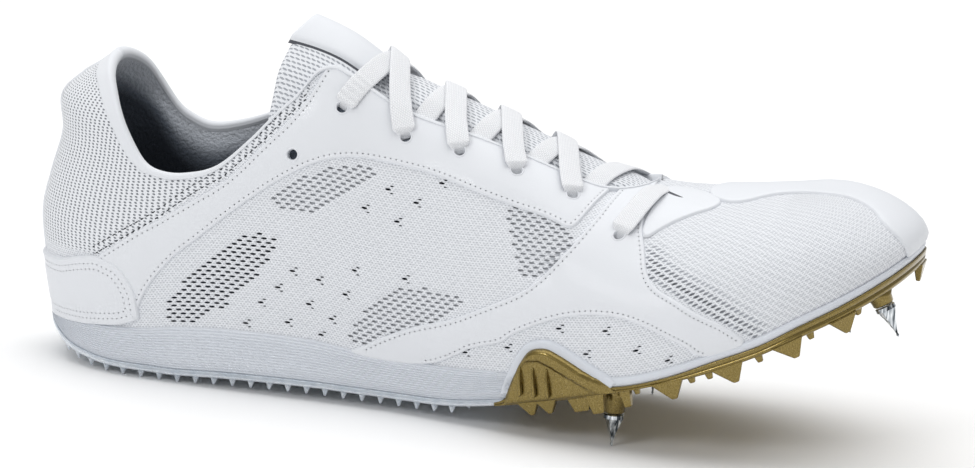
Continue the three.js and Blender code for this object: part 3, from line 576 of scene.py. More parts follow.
# The open mesh's holes
HOLE_PITCH = 3.1 * MM
HOLE_ROW = 1.3 * MM
HOLE_LENGTH = 1.9 * MM
HOLE_WIDTH = 0.7 * MM
HOLE_LIP = 0.24 * MM
HOLE_DIP = 0.25 * MM
HOLE_SIDES = 8
DASH_ROWS = (0.9 * MM, 2.0 * MM, 3.1 * MM)
DASH_PITCH = 2.1 * MM
DASH_LENGTH = 1.15 * MM
DASH_WIDTH = 0.42 * MM
STITCH_RADIUS = 0.24 * MM
STITCH_PITCH = 1.8 * MM
STITCH_INSET = 1.4 * MM


def flat_places(shares, side=-1):
    places = np.array(shares, float) * FLAT_SIZE
    if side > 0:
        places[:, 0] *= -MEDIAL_SHARE
    return places


# Outlines and the triangles inside them
def resample(points, spacing, closed):
    points = np.asarray(points, float)
    if closed:
        points = np.concatenate([points, points[:1]])
    lengths = lengths_along(points)
    count = max(int(round(lengths[-1] / spacing)), 3)
    places = np.linspace(0, lengths[-1], count + 1)
    if closed:
        places = places[:-1]
    return np.stack([np.interp(places, lengths, points[:, k]) for k in range(points.shape[1])], axis=1)


CORNER_CUTS = (0.25, 0.75)


def soften(points, rounds):
    """A closed outline with its corners cut off and cut off again."""
    for _ in range(rounds):
        ahead = np.roll(points, -1, axis=0)
        near, far = (mix(points, ahead, share) for share in CORNER_CUTS)
        points = np.stack([near, far], axis=1).reshape(-1, points.shape[1])
    return points


BATCH = 2000
FAR_AWAY = 1e9
NO_LENGTH = 1e-18
NO_RISE = 1e-15


def distance_to(points, loop, kept=None):
    """Distance from points to a closed outline, or to those of its segments that are kept."""
    start, end = loop, np.roll(loop, -1, axis=0)
    if kept is not None:
        start, end = start[kept], end[kept]
    nearest = np.full(len(points), FAR_AWAY)
    line = end - start
    size = np.maximum((line * line).sum(axis=1), NO_LENGTH)
    for low in range(0, len(points), BATCH):
        p = points[low:low + BATCH, None]
        u = ((p - start) * line).sum(axis=2) / size
        foot = start + line * np.clip(u, 0, 1)[..., None]
        nearest[low:low + BATCH] = np.sqrt(((p - foot) ** 2).sum(axis=2)).min(axis=1)
    return nearest


def distance_to_line(points, line):
    """Distance from points to an open line."""
    kept = np.arange(len(line)) < len(line) - 1
    return distance_to(points, line, kept)


def inside(points, loop):
    ahead = np.roll(loop, -1, axis=0)
    rise = ahead[:, 1] - loop[:, 1]
    rise = np.where(np.abs(rise) < NO_RISE, NO_RISE, rise)
    found = np.zeros(len(points), bool)
    for low in range(0, len(points), BATCH):
        p = points[low:low + BATCH, None]
        crosses = (loop[:, 1] > p[..., 1]) != (ahead[:, 1] > p[..., 1])
        at = loop[:, 0] + (p[..., 1] - loop[:, 1]) / rise * (ahead[:, 0] - loop[:, 0])
        found[low:low + BATCH] = (crosses & (p[..., 0] < at)).sum(axis=1) % 2 == 1
    return found


def lattice(low, high, pitch, row):
    rows = []
    for k, y in enumerate(np.arange(low[1], high[1], row)):
        x = np.arange(low[0] + (k % 2) * pitch / 2, high[0], pitch)
        rows.append(np.stack([x, np.full(len(x), y)], axis=1))
    return np.concatenate(rows)


def inset_line(loop, distance):
    ahead, behind = np.roll(loop, -1, axis=0), np.roll(loop, 1, axis=0)
    along_line = unit(ahead - behind)
    area = (loop[:, 0] * ahead[:, 1] - ahead[:, 0] * loop[:, 1]).sum()
    across = np.stack([-along_line[:, 1], along_line[:, 0]], axis=1) * np.sign(area)
    return loop + across * distance


def clear_of(points, holes, margin):
    """Points that lie clear of every hole, each taken as a stretched circle."""
    clear = np.ones(len(points), bool)
    for hole in holes:
        centre = hole.mean(axis=0)
        reach = np.abs(hole - centre).max(axis=0) + margin
        near = np.abs(points - centre) < reach
        clear &= ~(near[:, 0] & near[:, 1])
    return clear


CDT_SCALE = 1000.0
CDT_NEAREST = 1e-5


def cut_triangles(points, loop_count, holes):
    """Triangles inside a closed outline, the first points, that leave out the holes.

    Also gives the hole that each point belongs to, or -1."""
    edges = [(i, (i + 1) % loop_count) for i in range(loop_count)]
    owner, first = [-1] * len(points), len(points)
    for k, hole in enumerate(holes):
        edges += [(first + i, first + (i + 1) % len(hole)) for i in range(len(hole))]
        owner += [k] * len(hole)
        first += len(hole)
    everything = np.concatenate([points, *holes])
    scaled = [Vector((x, y)) for x, y in everything * CDT_SCALE]
    found, _, faces, origins, *_ = delaunay_2d_cdt(scaled, edges, [], 0, CDT_NEAREST)
    flat = np.array([tuple(v) for v in found]) / CDT_SCALE
    owner = np.array([owner[o[0]] if o else -1 for o in origins])
    faces = np.array([f for f in faces if len(f) == 3])
    ids = owner[faces]
    filled = (ids[:, 0] >= 0) & (ids[:, 0] == ids[:, 1]) & (ids[:, 1] == ids[:, 2])
    keep = inside(flat[faces].mean(axis=1), points[:loop_count]) & ~filled
    return flat, faces[keep], owner


RING_SLACK = 0.9
ROW_SHARE = 0.866
EDGE_GAP = 0.4
OUTLINE_SPACING = 1.0 * MM
FINE_SPACING = 0.5 * MM


def fill_outline(loop, rings, spacing, holes=(), lips=()):
    """Flat points and triangles inside an outline, with finer rings of points along its edge."""
    points = [loop]
    for ring in rings:
        line = inset_line(loop, ring)
        points.append(line[distance_to(line, loop) > ring * RING_SLACK])
    middle = lattice(loop.min(axis=0), loop.max(axis=0), spacing, spacing * ROW_SHARE)
    middle = middle[inside(middle, loop)]
    middle = middle[distance_to(middle, loop) > (rings[-1] if len(rings) else 0) + spacing * EDGE_GAP]
    middle = middle[clear_of(middle, holes, HOLE_LIP * 2)]
    return cut_triangles(np.concatenate([*points, middle, *lips]), len(loop), holes)


# Objects from points and faces
def make_object(name, points, faces, material, uv=None, shares=None):
    mesh = bpy.data.meshes.new(name)
    mesh.from_pydata(np.asarray(points).tolist(), [], [[int(i) for i in f] for f in faces])
    mesh.update()
    if uv is not None:
        layer = mesh.uv_layers.new(name="flat")
        index = np.zeros(len(mesh.loops), int)
        mesh.loops.foreach_get("vertex_index", index)
        layer.data.foreach_set("uv", (np.asarray(uv)[index] / MM).astype(np.float32).ravel())
    for word, values in (shares or {}).items():
        mesh.attributes.new(word, "FLOAT", "POINT").data.foreach_set("value", values.astype(np.float32))
    mesh.polygons.foreach_set("use_smooth", [True] * len(mesh.polygons))
    mesh.materials.append(material)
    piece = bpy.data.objects.new(name, mesh)
    bpy.context.scene.collection.objects.link(piece)
    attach(piece, "root")
    return piece


def join_parts(parts):
    """One list of points and faces from several."""
    points, faces, first = [], [], 0
    for part_points, part_faces in parts:
        points.append(np.asarray(part_points))
        faces += [tuple(int(i) + first for i in f) for f in part_faces]
        first += len(part_points)
    return np.concatenate(points), faces


def grid_faces(rows, columns, closed_rows=False, closed_columns=False):
    faces = []
    for i in range(rows if closed_rows else rows - 1):
        for j in range(columns if closed_columns else columns - 1):
            after_i, after_j = (i + 1) % rows, (j + 1) % columns
            faces.append((i * columns + j, after_i * columns + j,
                          after_i * columns + after_j, i * columns + after_j))
    return faces


def round_over(distance):
    """Share of a panel's thickness at a distance in from its edge."""
    u = np.clip(distance / ROUNDING, 0, 1)
    return np.sqrt(1 - (1 - u) ** 2)


# The upper's outer cloth with its open mesh
CLOTH_SPACING = 2.2 * MM
TUCK = 1.5 * MM


def eyelet_flat(eyelet, side):
    place, share = eyelet
    turn = np.array([turn_at(along(place), side)])
    height = height_of(turn, share * cut_of(turn))
    return np.array([length_of(turn[0]), height[0]])


def ring(centre, ahead, length, width, sides):
    angle = np.linspace(0, 2 * np.pi, sides, endpoint=False)
    across = np.array([-ahead[1], ahead[0]])
    return (centre + np.cos(angle)[:, None] * ahead * length / 2
            + np.sin(angle)[:, None] * across * width / 2)


LEVEL_AHEAD = np.array([1.0, 0.0])
EYELET_SIDES = 14


def circle(centre, radius, sides):
    return ring(centre, LEVEL_AHEAD, 2 * radius, 2 * radius, sides)


def eyelet_holes(side):
    return [circle(eyelet_flat(e, side), EYELET_RADIUS, EYELET_SIDES) for e in EYELETS]


def window_places(side):
    places = []
    for window in MESH_WINDOWS:
        loop = soften(flat_places(window, side), 1)
        spots = lattice(loop.min(axis=0), loop.max(axis=0), HOLE_PITCH, HOLE_ROW)
        places.append(spots[inside(spots, loop)])
    return np.concatenate(places)


CLUSTER = ((0, 0, 1.0), (-0.36, 0.85, 0.62), (-0.42, -0.85, 0.55))


def cluster_places(side):
    """Three small holes for each cluster, with the largest in front."""
    centres = flat_places(HOLE_CLUSTERS, side)
    places = []
    for across, up, size in CLUSTER:
        offset = np.array([-side * across * HOLE_PITCH, up * HOLE_ROW])
        places += [(centre + offset, size) for centre in centres]
    return places


def dash_places(side):
    """Rows of dashes beside the heel mesh, along the eyestay's upper edge."""
    line = resample(flat_places(HEEL_MESH_EDGE, side), DASH_PITCH, False)
    ahead = unit(np.gradient(line, axis=0))
    across = np.stack([-ahead[:, 1], ahead[:, 0]], axis=1)
    up = np.where(across[:, 1:] < 0, -across, across)
    places = []
    for k, distance in enumerate(DASH_ROWS):
        shift = ahead * DASH_PITCH * 0.5 * (k % 2)
        places += list(zip(line + up * distance + shift, ahead))
    return places


RIM_MARGIN = 1.2 * MM


def cloth_holes():
    """Outlines of all the cloth's holes and of the lips round them."""
    holes, lips, centres = [], [], np.zeros((0, 2))

    def add(centre, ahead, length, width):
        nonlocal centres
        top = top_height(centre[:1])[0]
        if not RIM_MARGIN < centre[1] < top - RIM_MARGIN:
            return
        apart = np.abs(centres - centre)
        if ((apart[:, 0] < HOLE_LENGTH + HOLE_LIP) & (apart[:, 1] < HOLE_WIDTH + HOLE_LIP)).any():
            return
        centres = np.concatenate([centres, centre[None]])
        holes.append(ring(centre, ahead, length, width, HOLE_SIDES))
        lips.append(ring(centre, ahead, length + 2 * HOLE_LIP, width + 2 * HOLE_LIP, HOLE_SIDES))

    for side in (-1, 1):
        for eyelet in eyelet_holes(side):
            centres = np.concatenate([centres, eyelet])
            holes.append(eyelet)
        for centre in window_places(side):
            add(centre, LEVEL_AHEAD, HOLE_LENGTH, HOLE_WIDTH)
        for centre, size in cluster_places(side):
            add(centre, LEVEL_AHEAD, HOLE_LENGTH * size, HOLE_WIDTH * size)
        for centre, ahead in dash_places(side):
            add(centre, ahead, DASH_LENGTH, DASH_WIDTH)
    return holes, lips


CLOTH_COLUMNS = 521
SEAM_ROWS = 40


def cloth_outline():
    turn = np.linspace(-1, 1, CLOTH_COLUMNS)
    length = length_of(turn)
    top = np.stack([length, top_height_at(turn)], axis=1)
    low = np.stack([length, np.full(len(turn), -TUCK)], axis=1)[::-1]
    side_rows = np.linspace(0, 1, SEAM_ROWS)[1:-1]
    right = mix(top[-1], low[0], side_rows[:, None])
    left = mix(low[-1], top[0], side_rows[:, None])
    return np.concatenate([top, right, low, left])


# Rear limit of the open forefoot mesh: shares of the instep height and of the shoe's length round it
FOREFOOT_EDGE = ((0.010, 0.941), (0.078, 0.908), (0.230, 0.844), (0.340, 0.806), (0.575, 0.784))
FOREFOOT_OPEN = 0.17
QUARTER_OPEN = 0.1
DARK_REACH = 9 * MM
DARK_POWER = 1.5


def openness(flat):
    """How dark the fine mesh's dots are."""
    lateral = flat.copy()
    lateral[:, 0] = np.where(flat[:, 0] > 0, -flat[:, 0] / MEDIAL_SHARE, flat[:, 0])
    limit = np.array(FOREFOOT_EDGE)
    front = -lateral[:, 0] / SHOE_LENGTH > np.interp(flat[:, 1] / INSTEP_HEIGHT, limit[:, 0], limit[:, 1])
    value = np.where(front, FOREFOOT_OPEN, QUARTER_OPEN)
    for line, here in zip(DARK_LINES, (front, ~front)):
        near = 1 - np.clip(distance_to_line(lateral, flat_places(line)) / DARK_REACH, 0, 1)
        value = np.maximum(value, near ** DARK_POWER * here)
    return value


def in_heel_mesh(flat):
    line = flat_places(HEEL_MESH_EDGE)
    length = np.where(flat[:, 0] > 0, flat[:, 0] / MEDIAL_SHARE, -flat[:, 0])
    return flat[:, 1] > np.interp(length, -line[:, 0], line[:, 1], right=1.0)


def build_cloth(material, heel_material):
    loop = cloth_outline()
    holes, lips = cloth_holes()
    flat, faces, owner = fill_outline(loop, (), CLOTH_SPACING, holes, lips)
    points = on_last(flat, np.where(owner >= 0, -HOLE_DIP, 0.0))
    piece = make_object("upper_cloth", points, faces, material, flat, {"open": openness(flat)})
    piece.data.materials.append(heel_material)
    heel = in_heel_mesh(flat[faces].mean(axis=1)).astype(int)
    piece.data.polygons.foreach_set("material_index", heel)
    return piece


# Shares of the way up to the collar's edge where the padding swells and where it thins again
PADDING_SWELLS = (0.45, 0.8)
PADDING_THINS = (0.84, 1.0)
EDGE_THINNING = 0.7


def wall_at(turn, share_of_cut):
    x = edge(turn, FEATHER_INSET)[0]
    behind = 1 - fade(x, HEEL_CENTRE, COLLAR_FADE_START)
    thick = fade(share_of_cut, *PADDING_SWELLS) * (1 - EDGE_THINNING * fade(share_of_cut, *PADDING_THINS))
    return UPPER_WALL + COLLAR_PADDING * thick * behind


THROAT_GAP = 0.2 * MM


def open_turns(count):
    """Turns from the lateral front end of the throat round the heel to the medial front end."""
    reach = turn_at(np.array([THROAT_FRONT - THROAT_GAP]), 1)[0]
    return np.linspace(-reach, reach, count)


RIM_RISE = 0.3 * MM
NARROW_BAND = 0.9 * MM
INNER_BAND = 1.6 * MM
BAND_GAP = 0.8 * MM
BAND_WIDTHS = (1 * MM, 5 * MM)
RIM_COLUMNS = 420
RIM_STEP = 12 * MM
ROLL_STEPS = 13
ROLL_HEIGHT = 0.4
BELOW_CUT = 0.02
# Places across the band, as shares of its width down from the edge and of the rise
OUTER_BAND = ((1, -0.3), (0.985, 0.5), (0.95, 0.85), (0.88, 1), (0.6, 1), (0.3, 1))
LINING_BAND = ((0.15, 0.9), (0.4, 0.6), (0.7, 0.3), (0.95, 0.1), (1, -0.3))


def band_width(turn):
    """Width of the smooth band outside the collar's edge."""
    length = np.abs(length_of(turn))
    line = np.array(RIM_BAND_EDGE) * FLAT_SIZE
    wide = top_height_at(turn) - np.interp(length, line[:, 0], line[:, 1])
    share = fade(length, line[-3, 0], line[-1, 0])
    return mix(np.clip(wide - BAND_GAP, *BAND_WIDTHS), NARROW_BAND, share)


def build_rim(material):
    """Band and rolled edge of the collar and throat, from the outside over to the lining."""
    turn = open_turns(RIM_COLUMNS)
    top = top_height_at(turn)
    wall = wall_at(turn, np.ones(len(turn)))
    x = edge(turn, FEATHER_INSET)[0]
    rise = RIM_RISE + OVERLAY_THICKNESS * fade(x, THROAT_BACK - RIM_STEP, THROAT_BACK)
    band = band_width(turn)
    columns = []
    for down, out in OUTER_BAND:
        columns.append(grown(turn, level_of(turn, top - band * down), rise * out))
    cut = cut_of(turn)
    outer, inner = grown(turn, cut, rise), grown(turn, cut, -wall)
    up = unit(grown(turn, cut, 0.0) - grown(turn, cut - BELOW_CUT, 0.0))
    for angle in np.linspace(0, np.pi, ROLL_STEPS):
        across = mix(outer, inner, (1 - math.cos(angle)) / 2)
        columns.append(across + up * (math.sin(angle) * ROLL_HEIGHT * wall)[:, None])
    for down, out in LINING_BAND:
        level = level_of(turn, top - INNER_BAND * down)
        columns.append(grown(turn, level, -wall_at(turn, level / cut) - RIM_RISE * out))
    points = np.stack(columns, axis=1).reshape(-1, 3)
    share = np.linspace(0, 1, len(columns))
    piece = make_object("collar_rim", points, grid_faces(len(turn), len(columns)), material,
                        None, {"across": np.tile(share, len(turn))})
    return piece


LINING_COLUMNS = 361
LINING_ROWS = 30


def build_lining(material):
    turn = np.linspace(-1, 1, LINING_COLUMNS)
    columns, deep = [], []
    cut = cut_of(turn)
    for share in np.linspace(0, 1, LINING_ROWS):
        columns.append(grown(turn, share * cut, -wall_at(turn, np.full(len(turn), share))))
        # deep: share of the instep height below the collar's edge, which darkens the lining's colour,
        # partly its own slate tone and partly painted shade
        deep.append((height_of(turn, cut) - height_of(turn, share * cut)) / INSTEP_HEIGHT)
    points = np.stack(columns, axis=1).reshape(-1, 3)
    deep = np.stack(deep, axis=1).ravel()
    faces = grid_faces(len(turn), LINING_ROWS)
    return make_object("lining", points, faces, material, None, {"deep": deep})


# Plain sheets close behind the windows of the quarter and the throat
BACKING_DEPTH = 0.9 * MM
BACKED_WINDOWS = MESH_WINDOWS[1:]
BACKING_MARGIN = 2 * MM
BACKING_EDGE = 1.5 * MM
BACKING_SPACING = 3 * MM


def build_backing(material):
    parts = []
    for side in (-1, 1):
        for window in BACKED_WINDOWS:
            loop = inset_line(soften(flat_places(window, side), 1), -BACKING_MARGIN)
            flat, faces, _ = fill_outline(resample(loop, BACKING_EDGE, True), (), BACKING_SPACING)
            parts.append((on_last(flat, -BACKING_DEPTH), faces))
    return make_object("mesh_backing", *join_parts(parts), material)


# Overlays: thin panels with rounded edges that follow their outlines
PANEL_SPACING = 3 * MM
PANEL_RINGS = (0.2 * MM, 0.45 * MM, 0.75 * MM)
STITCH_DIP = 0.2 * MM
STITCH_SIDES = 6
STITCH_NEAREST = 0.85
STITCH_FARTHEST = 1.2
HELD_GAP = 0.02 * MM


def clip_to_top(loop):
    """The outline held down to the collar or throat, and which of its segments stay free of it."""
    top = top_height(loop[:, 0])
    over = loop[:, 1] >= top - HELD_GAP
    held = loop.copy()
    held[:, 1] = np.minimum(loop[:, 1], top)
    return held, ~(over & np.roll(over, -1))


def stitch_holes(loop, kept, holes, rows):
    """Rows of small holes inside an outline's free edges."""
    found = []
    for inset in rows:
        line = resample(inset_line(loop, inset), STITCH_PITCH, True)
        line = line[distance_to(line, loop) > inset * STITCH_NEAREST]
        line = line[distance_to(line, loop, kept) < inset * STITCH_FARTHEST]
        line = line[(line[:, 1] > MM) & inside(line, loop) & clear_of(line, holes, MM)]
        found += [circle(p, STITCH_RADIUS, STITCH_SIDES) for p in line]
    return found


def panel_mesh(name, loop, place, material, thickness=OVERLAY_THICKNESS, rows=(), kept=None, holes=()):
    """A panel with rounded free edges; kept marks those edges, and without it all of them are free."""
    stitches = stitch_holes(loop, kept, holes, rows)
    flat, faces, owner = fill_outline(loop, PANEL_RINGS, PANEL_SPACING, [*holes, *stitches])
    rise = thickness * round_over(distance_to(flat, loop, kept))
    rise -= np.where(owner >= len(holes), STITCH_DIP, 0)
    return make_object(name, place(flat, rise), faces, material, flat)


def build_panel(name, outline, side, material):
    corners = soften(side_flat(outline, side), 2)
    loop, kept = clip_to_top(resample(corners, OUTLINE_SPACING, True))
    holes = [h for h in eyelet_holes(side) if inside(h.mean(axis=0)[None], loop)[0]]
    return panel_mesh(name, loop, on_last, material, OVERLAY_THICKNESS, (STITCH_INSET,), kept, holes)


COUNTER_THICKNESS = 1.5 * MM
COUNTER_ROWS = (2.4 * MM, 4.2 * MM)


def build_counter(material):
    corners = soften(np.concatenate([side_flat(COUNTER, -1), side_flat(COUNTER, 1)[::-1]]), 2)
    loop = resample(corners, OUTLINE_SPACING, True)
    return panel_mesh("heel_counter_cover", loop, on_last, material, COUNTER_THICKNESS, COUNTER_ROWS)


BACKSTAY_HALF = 6.2 * MM
BACKSTAY_FOOT = 1.5
BACKSTAY_FLARE = 6 * MM
BACKSTAY_GAP = 3 * MM
BACKSTAY_LOW = 0.19
BACKSTAY_THICKNESS = 0.5 * MM


def build_backstay(material):
    """Smooth strip up the back of the heel, between the counter and the collar."""
    low = BACKSTAY_LOW * INSTEP_HEIGHT
    top = top_height(np.zeros(1))[0] - BACKSTAY_GAP
    flare = low + BACKSTAY_FLARE
    foot = BACKSTAY_FOOT
    outline = np.array([(-foot, low), (foot, low), (1, flare), (1, top), (-1, top), (-1, flare)])
    loop = resample(soften(outline * (BACKSTAY_HALF, 1), 2), OUTLINE_SPACING, True)
    return panel_mesh("backstay_cover", loop, on_last, material, BACKSTAY_THICKNESS)


# Toe cap and vamp patch: outlines in plan as shares of the length and of the ball width, spread flat
# about the ridge so that they may cross it
TOE_LINE = (
    (0.745, 0.03), (0.770, -0.06), (0.795, -0.07), (0.825, 0.01), (0.856, 0.02), (0.900, 0.01),
    (0.940, -0.035), (0.958, -0.11),
)
TOE_EDGE = (-0.957, -1.175)
TOE_EDGE_STEPS = 30
EDGE_DROP = 0.6
TOE_BACK = ((0.865, 0.44), (0.855, 0.38), (0.835, 0.33), (0.800, 0.27), (0.765, 0.18))
VAMP_PATCH = (
    (0.694, -0.35), (0.732, -0.215), (0.780, -0.085), (0.752, 0.02), (0.712, 0.05), (0.702, 0.0),
)


# The level that a search in plan starts from, the last turn and the least distance from the ridge
PLAN_START = 0.8
LAST_TURN = 0.99999
NOTHING = 1e-9


def plan_spread(outline):
    share, across = np.array(outline, float).T
    x, y = along(share), BALL_WIDTH * across
    side = np.where(y < ridge_y(np.clip(x, HEEL_CENTRE, TOE_CENTRE)), -1.0, 1.0)
    start = turn_at(np.minimum(x, TOE_CENTRE + OUTSIDE), side)
    level = np.full(len(x), PLAN_START)
    turn, level = find_turns(np.stack([x, y], axis=1), [0, 1], side, start, level)
    return spread_of(turn, level)


def spread_of(turn, level):
    """Places spread flat about the ridge, from turns and levels."""
    side, angle = side_of(turn), toe_angle(np.abs(turn))
    reach = height_of(turn, np.ones(len(turn))) - height_of(turn, level)
    x = spine(edge(turn, FEATHER_INSET)[0])[0]
    return np.stack([x + reach * np.sin(angle), side * reach * np.cos(angle)], axis=1)


def from_spread(spread):
    side = side_of(spread[:, 1])
    beyond = np.maximum(spread[:, 0] - TOE_CENTRE, 0)
    angle = np.arctan2(beyond, np.abs(spread[:, 1]) + NOTHING)
    q = np.where(beyond > 0, TOE_TURN + (1 - TOE_TURN) * angle / (np.pi / 2),
                 np.abs(turn_at(np.minimum(spread[:, 0], TOE_CENTRE), 1)))
    turn = side * np.minimum(q, LAST_TURN)
    reach = np.hypot(beyond, spread[:, 1])
    total = height_of(turn, np.ones(len(turn)))
    return turn, total - reach


def on_spread(spread, grow):
    turn, height = from_spread(spread)
    points = grown(turn, level_of(turn, height), grow)
    points[:, 2] += np.clip(height, -TUCK, 0)
    return points


def edge_spread(start, end, count):
    """The sole's edge round the toe, spread flat, just under its height."""
    turn = np.linspace(start, end, count)
    q = np.where(turn < -1, turn + 2, turn)
    places = spread_of(q, np.zeros(count))
    angle = toe_angle(np.abs(q))
    out = np.stack([np.sin(angle), side_of(q) * np.cos(angle)], axis=1)
    return places + out * TUCK * EDGE_DROP


def build_toe_cap(material):
    corners = [plan_spread(TOE_LINE), edge_spread(*TOE_EDGE, TOE_EDGE_STEPS), plan_spread(TOE_BACK)]
    loop = resample(soften(np.concatenate(corners), 2), OUTLINE_SPACING, True)
    return panel_mesh("toe_cap_cover", loop, on_spread, material)


def build_vamp_patch(material):
    loop = resample(soften(plan_spread(VAMP_PATCH), 2), OUTLINE_SPACING, True)
    return panel_mesh("vamp_patch_cover", loop, on_spread, material)


# A thin dark patch on the vamp, painted shade of the opening that the lowest lace runs into
LACE_SLOT = (
    (0.697, -0.020), (0.706, -0.048), (0.722, -0.070), (0.733, -0.068), (0.722, -0.046), (0.708, -0.022),
)
SLOT_THICKNESS = 1.0 * MM


def build_lace_slot(material):
    loop = resample(soften(plan_spread(LACE_SLOT), 1), FINE_SPACING, True)
    return panel_mesh("lace_slot_shade", loop, on_spread, material, SLOT_THICKNESS)


# Short tubes that line the eyelets through overlay and wall: shares of the eyelet's radius, and mm out
TUBE_PROFILE = ((1.35, 0.85), (1.25, 1.1), (1.08, 1.12), (0.97, 0.9), (0.94, -1.9))
TUBE_SIDES = 20


def build_eyelets(material):
    parts = []
    for side in (-1, 1):
        for eyelet in EYELETS:
            centre = eyelet_flat(eyelet, side)
            rows = [on_last(circle(centre, size * EYELET_RADIUS, TUBE_SIDES), out * MM)
                    for size, out in TUBE_PROFILE]
            parts.append((np.concatenate(rows), grid_faces(len(rows), TUBE_SIDES, closed_columns=True)))
    return make_object("eyelet_edges", *join_parts(parts), material)


# Tongue: a padded strip under the throat with a free, rounded top and a smooth tab on it
TONGUE_END = (
    (0.255, 0.30), (0.257, 0.80), (0.260, 0.86), (0.268, 0.92), (0.282, 0.975), (0.298, 1.01), (0.33, 1.05),
)
TONGUE_FRONT = 0.72
TONGUE_HALF = THROAT_HALF_WIDTH + 5.5 * MM
TONGUE_TAPER = 4 * MM
TONGUE_FLARE = 5 * MM
FLARE_END = (0.275, 0.345)
TONGUE_SWELL = 2.5 * MM
SWELL_START = 0.37
TAB_HALF = 12.5 * MM
TAB_FRONT = 0.375
TAB_THICKNESS = 1.6 * MM
TONGUE_TOP = -UPPER_WALL - CLEARANCE
LOWEST_BESIDE = 0.35
BESIDE_ROUNDS = 22
START_ROUNDS = 14
START_SHARE = 0.6


def level_beside(turn, across):
    """The level at which the last lies a distance beside the ridge, in plan."""
    low, high = np.full(len(turn), LOWEST_BESIDE), np.ones(len(turn))
    for _ in range(BESIDE_ROUNDS):
        middle = (low + high) / 2
        p = last_point(turn, middle)
        outside = np.abs(p[:, 1] - ridge_y(p[:, 0])) > across
        low = np.where(outside, middle, low)
        high = np.where(outside, high, middle)
    return (low + high) / 2


def tongue_points(x, across, side, grow):
    turn = turn_at(x, side)
    return grown(turn, level_beside(turn, across), grow)


def tongue_start(across, side):
    """Where the free end's outline in the side view meets each lengthwise line of the tongue."""
    x, z = raised(*np.array(TONGUE_END).T)
    place = np.full(len(across), x[2])
    for _ in range(START_ROUNDS):
        height = tongue_points(place, across, side, TONGUE_TOP)[:, 2]
        place = mix(place, np.interp(height, z, x), START_SHARE)
    return place


# Rows across a strip, how they crowd toward its free end, and the rows that round that end off
STRIP_COLUMNS = 49
ROW_POWER = 1.4
END_ROWS = 7
# Where the strip tapers, and where its swelling between the throat's edges starts and ends
TAPER_START = 0.45
SWELL_BESIDE = (0.04, 0.3)
SWELL_RUN = 0.05
SWELL_END = (0.65, 0.69)


def strip_swell(x, reach, swell):
    """How far a strip bulges up between the throat's edges."""
    share = share_at(x)
    bulge = fade(1 - reach / throat_half(x), *SWELL_BESIDE) * swell
    return bulge * (fade(share, SWELL_START, SWELL_START + SWELL_RUN) * (1 - fade(share, *SWELL_END)))


def strip_flat(grid):
    """Flat places over a strip: the way from its free end and the way from its middle line."""
    down = np.cumsum(np.linalg.norm(np.diff(grid, axis=1, prepend=grid[:, :1]), axis=2), axis=1)
    down -= down[:, STRIP_COLUMNS // 2, None]
    ahead = np.cumsum(np.linalg.norm(np.diff(grid, axis=0, prepend=grid[:1]), axis=2), axis=0)
    flat = np.stack([ahead, down], axis=2).reshape(-1, 2)
    return np.concatenate([flat, flat])


def strip(half, front, low, high, lengthwise, edge_power, taper=0.0, flare=0.0, swell=0.0):
    """A cushion that follows the throat: rows from its free end forward, closed at its edges."""
    share = np.linspace(-1, 1, STRIP_COLUMNS)
    side = side_of(share)
    start = tongue_start(np.abs(share) * half, side)
    outer, inner = [], []
    middle, depth = (low + high) / 2, (high - low) / 2
    for k in range(lengthwise):
        x = mix(start, along(front), (k / (lengthwise - 1)) ** ROW_POWER)
        narrow = 1 - taper / half * fade(share_at(x), TAPER_START, TONGUE_FRONT)
        narrow += flare / half * (1 - fade(share_at(x), *FLARE_END))
        reach = np.abs(share) * half * narrow
        end = math.sqrt(1 - (1 - min(k / END_ROWS, 1)) ** 2)
        thick = depth * np.sqrt(np.clip(1 - np.abs(share) ** edge_power, 0, 1)) * end
        outer.append(tongue_points(x, reach, side, middle + thick + strip_swell(x, reach, swell)))
        inner.append(tongue_points(x, reach, side, middle - thick))
    points = np.concatenate([np.array(outer).reshape(-1, 3), np.array(inner).reshape(-1, 3)])
    faces = grid_faces(lengthwise, STRIP_COLUMNS)
    faces += [tuple(i + lengthwise * STRIP_COLUMNS for i in f[::-1]) for f in faces]
    return points, faces, strip_flat(np.array(outer))


TONGUE_ROWS = 130
TAB_ROWS = 60
TAB_SHADOW_LENGTHWISE = 50
TONGUE_SQUARENESS = 10
TAB_SQUARENESS = 14
# The painted shadow strip round the tab: how far it reaches past the tab, and how far below and above the
# tongue's top it lies
TAB_SHADOW_MARGIN = 0.8 * MM
TAB_SHADOW_HEIGHTS = (0.5 * MM, 0.3 * MM)


def build_tongue(material):
    low = TONGUE_TOP - TONGUE_THICKNESS
    points, faces, flat = strip(TONGUE_HALF, TONGUE_FRONT, low, TONGUE_TOP, TONGUE_ROWS,
                                TONGUE_SQUARENESS, TONGUE_TAPER, TONGUE_FLARE, TONGUE_SWELL)
    piece = make_object("tongue_cover", points, faces, material, flat)
    return piece


def build_tab(material):
    points, faces, flat = strip(TAB_HALF, TAB_FRONT, TONGUE_TOP - MM, TONGUE_TOP + TAB_THICKNESS,
                                TAB_ROWS, TAB_SQUARENESS)
    piece = make_object("tongue_tab", points, faces, material, flat)
    return piece


def build_tab_shadow(material):
    """Painted shadow: a dark strip a little wider than the tab that shows as a dark line round the tab's
    edge.
    """
    below, above = TAB_SHADOW_HEIGHTS
    points, faces, flat = strip(TAB_HALF + TAB_SHADOW_MARGIN, TAB_FRONT, TONGUE_TOP - below,
                                TONGUE_TOP + above, TAB_SHADOW_LENGTHWISE, TAB_SQUARENESS)
    return make_object("tongue_tab_shadow", points, faces, material, flat)


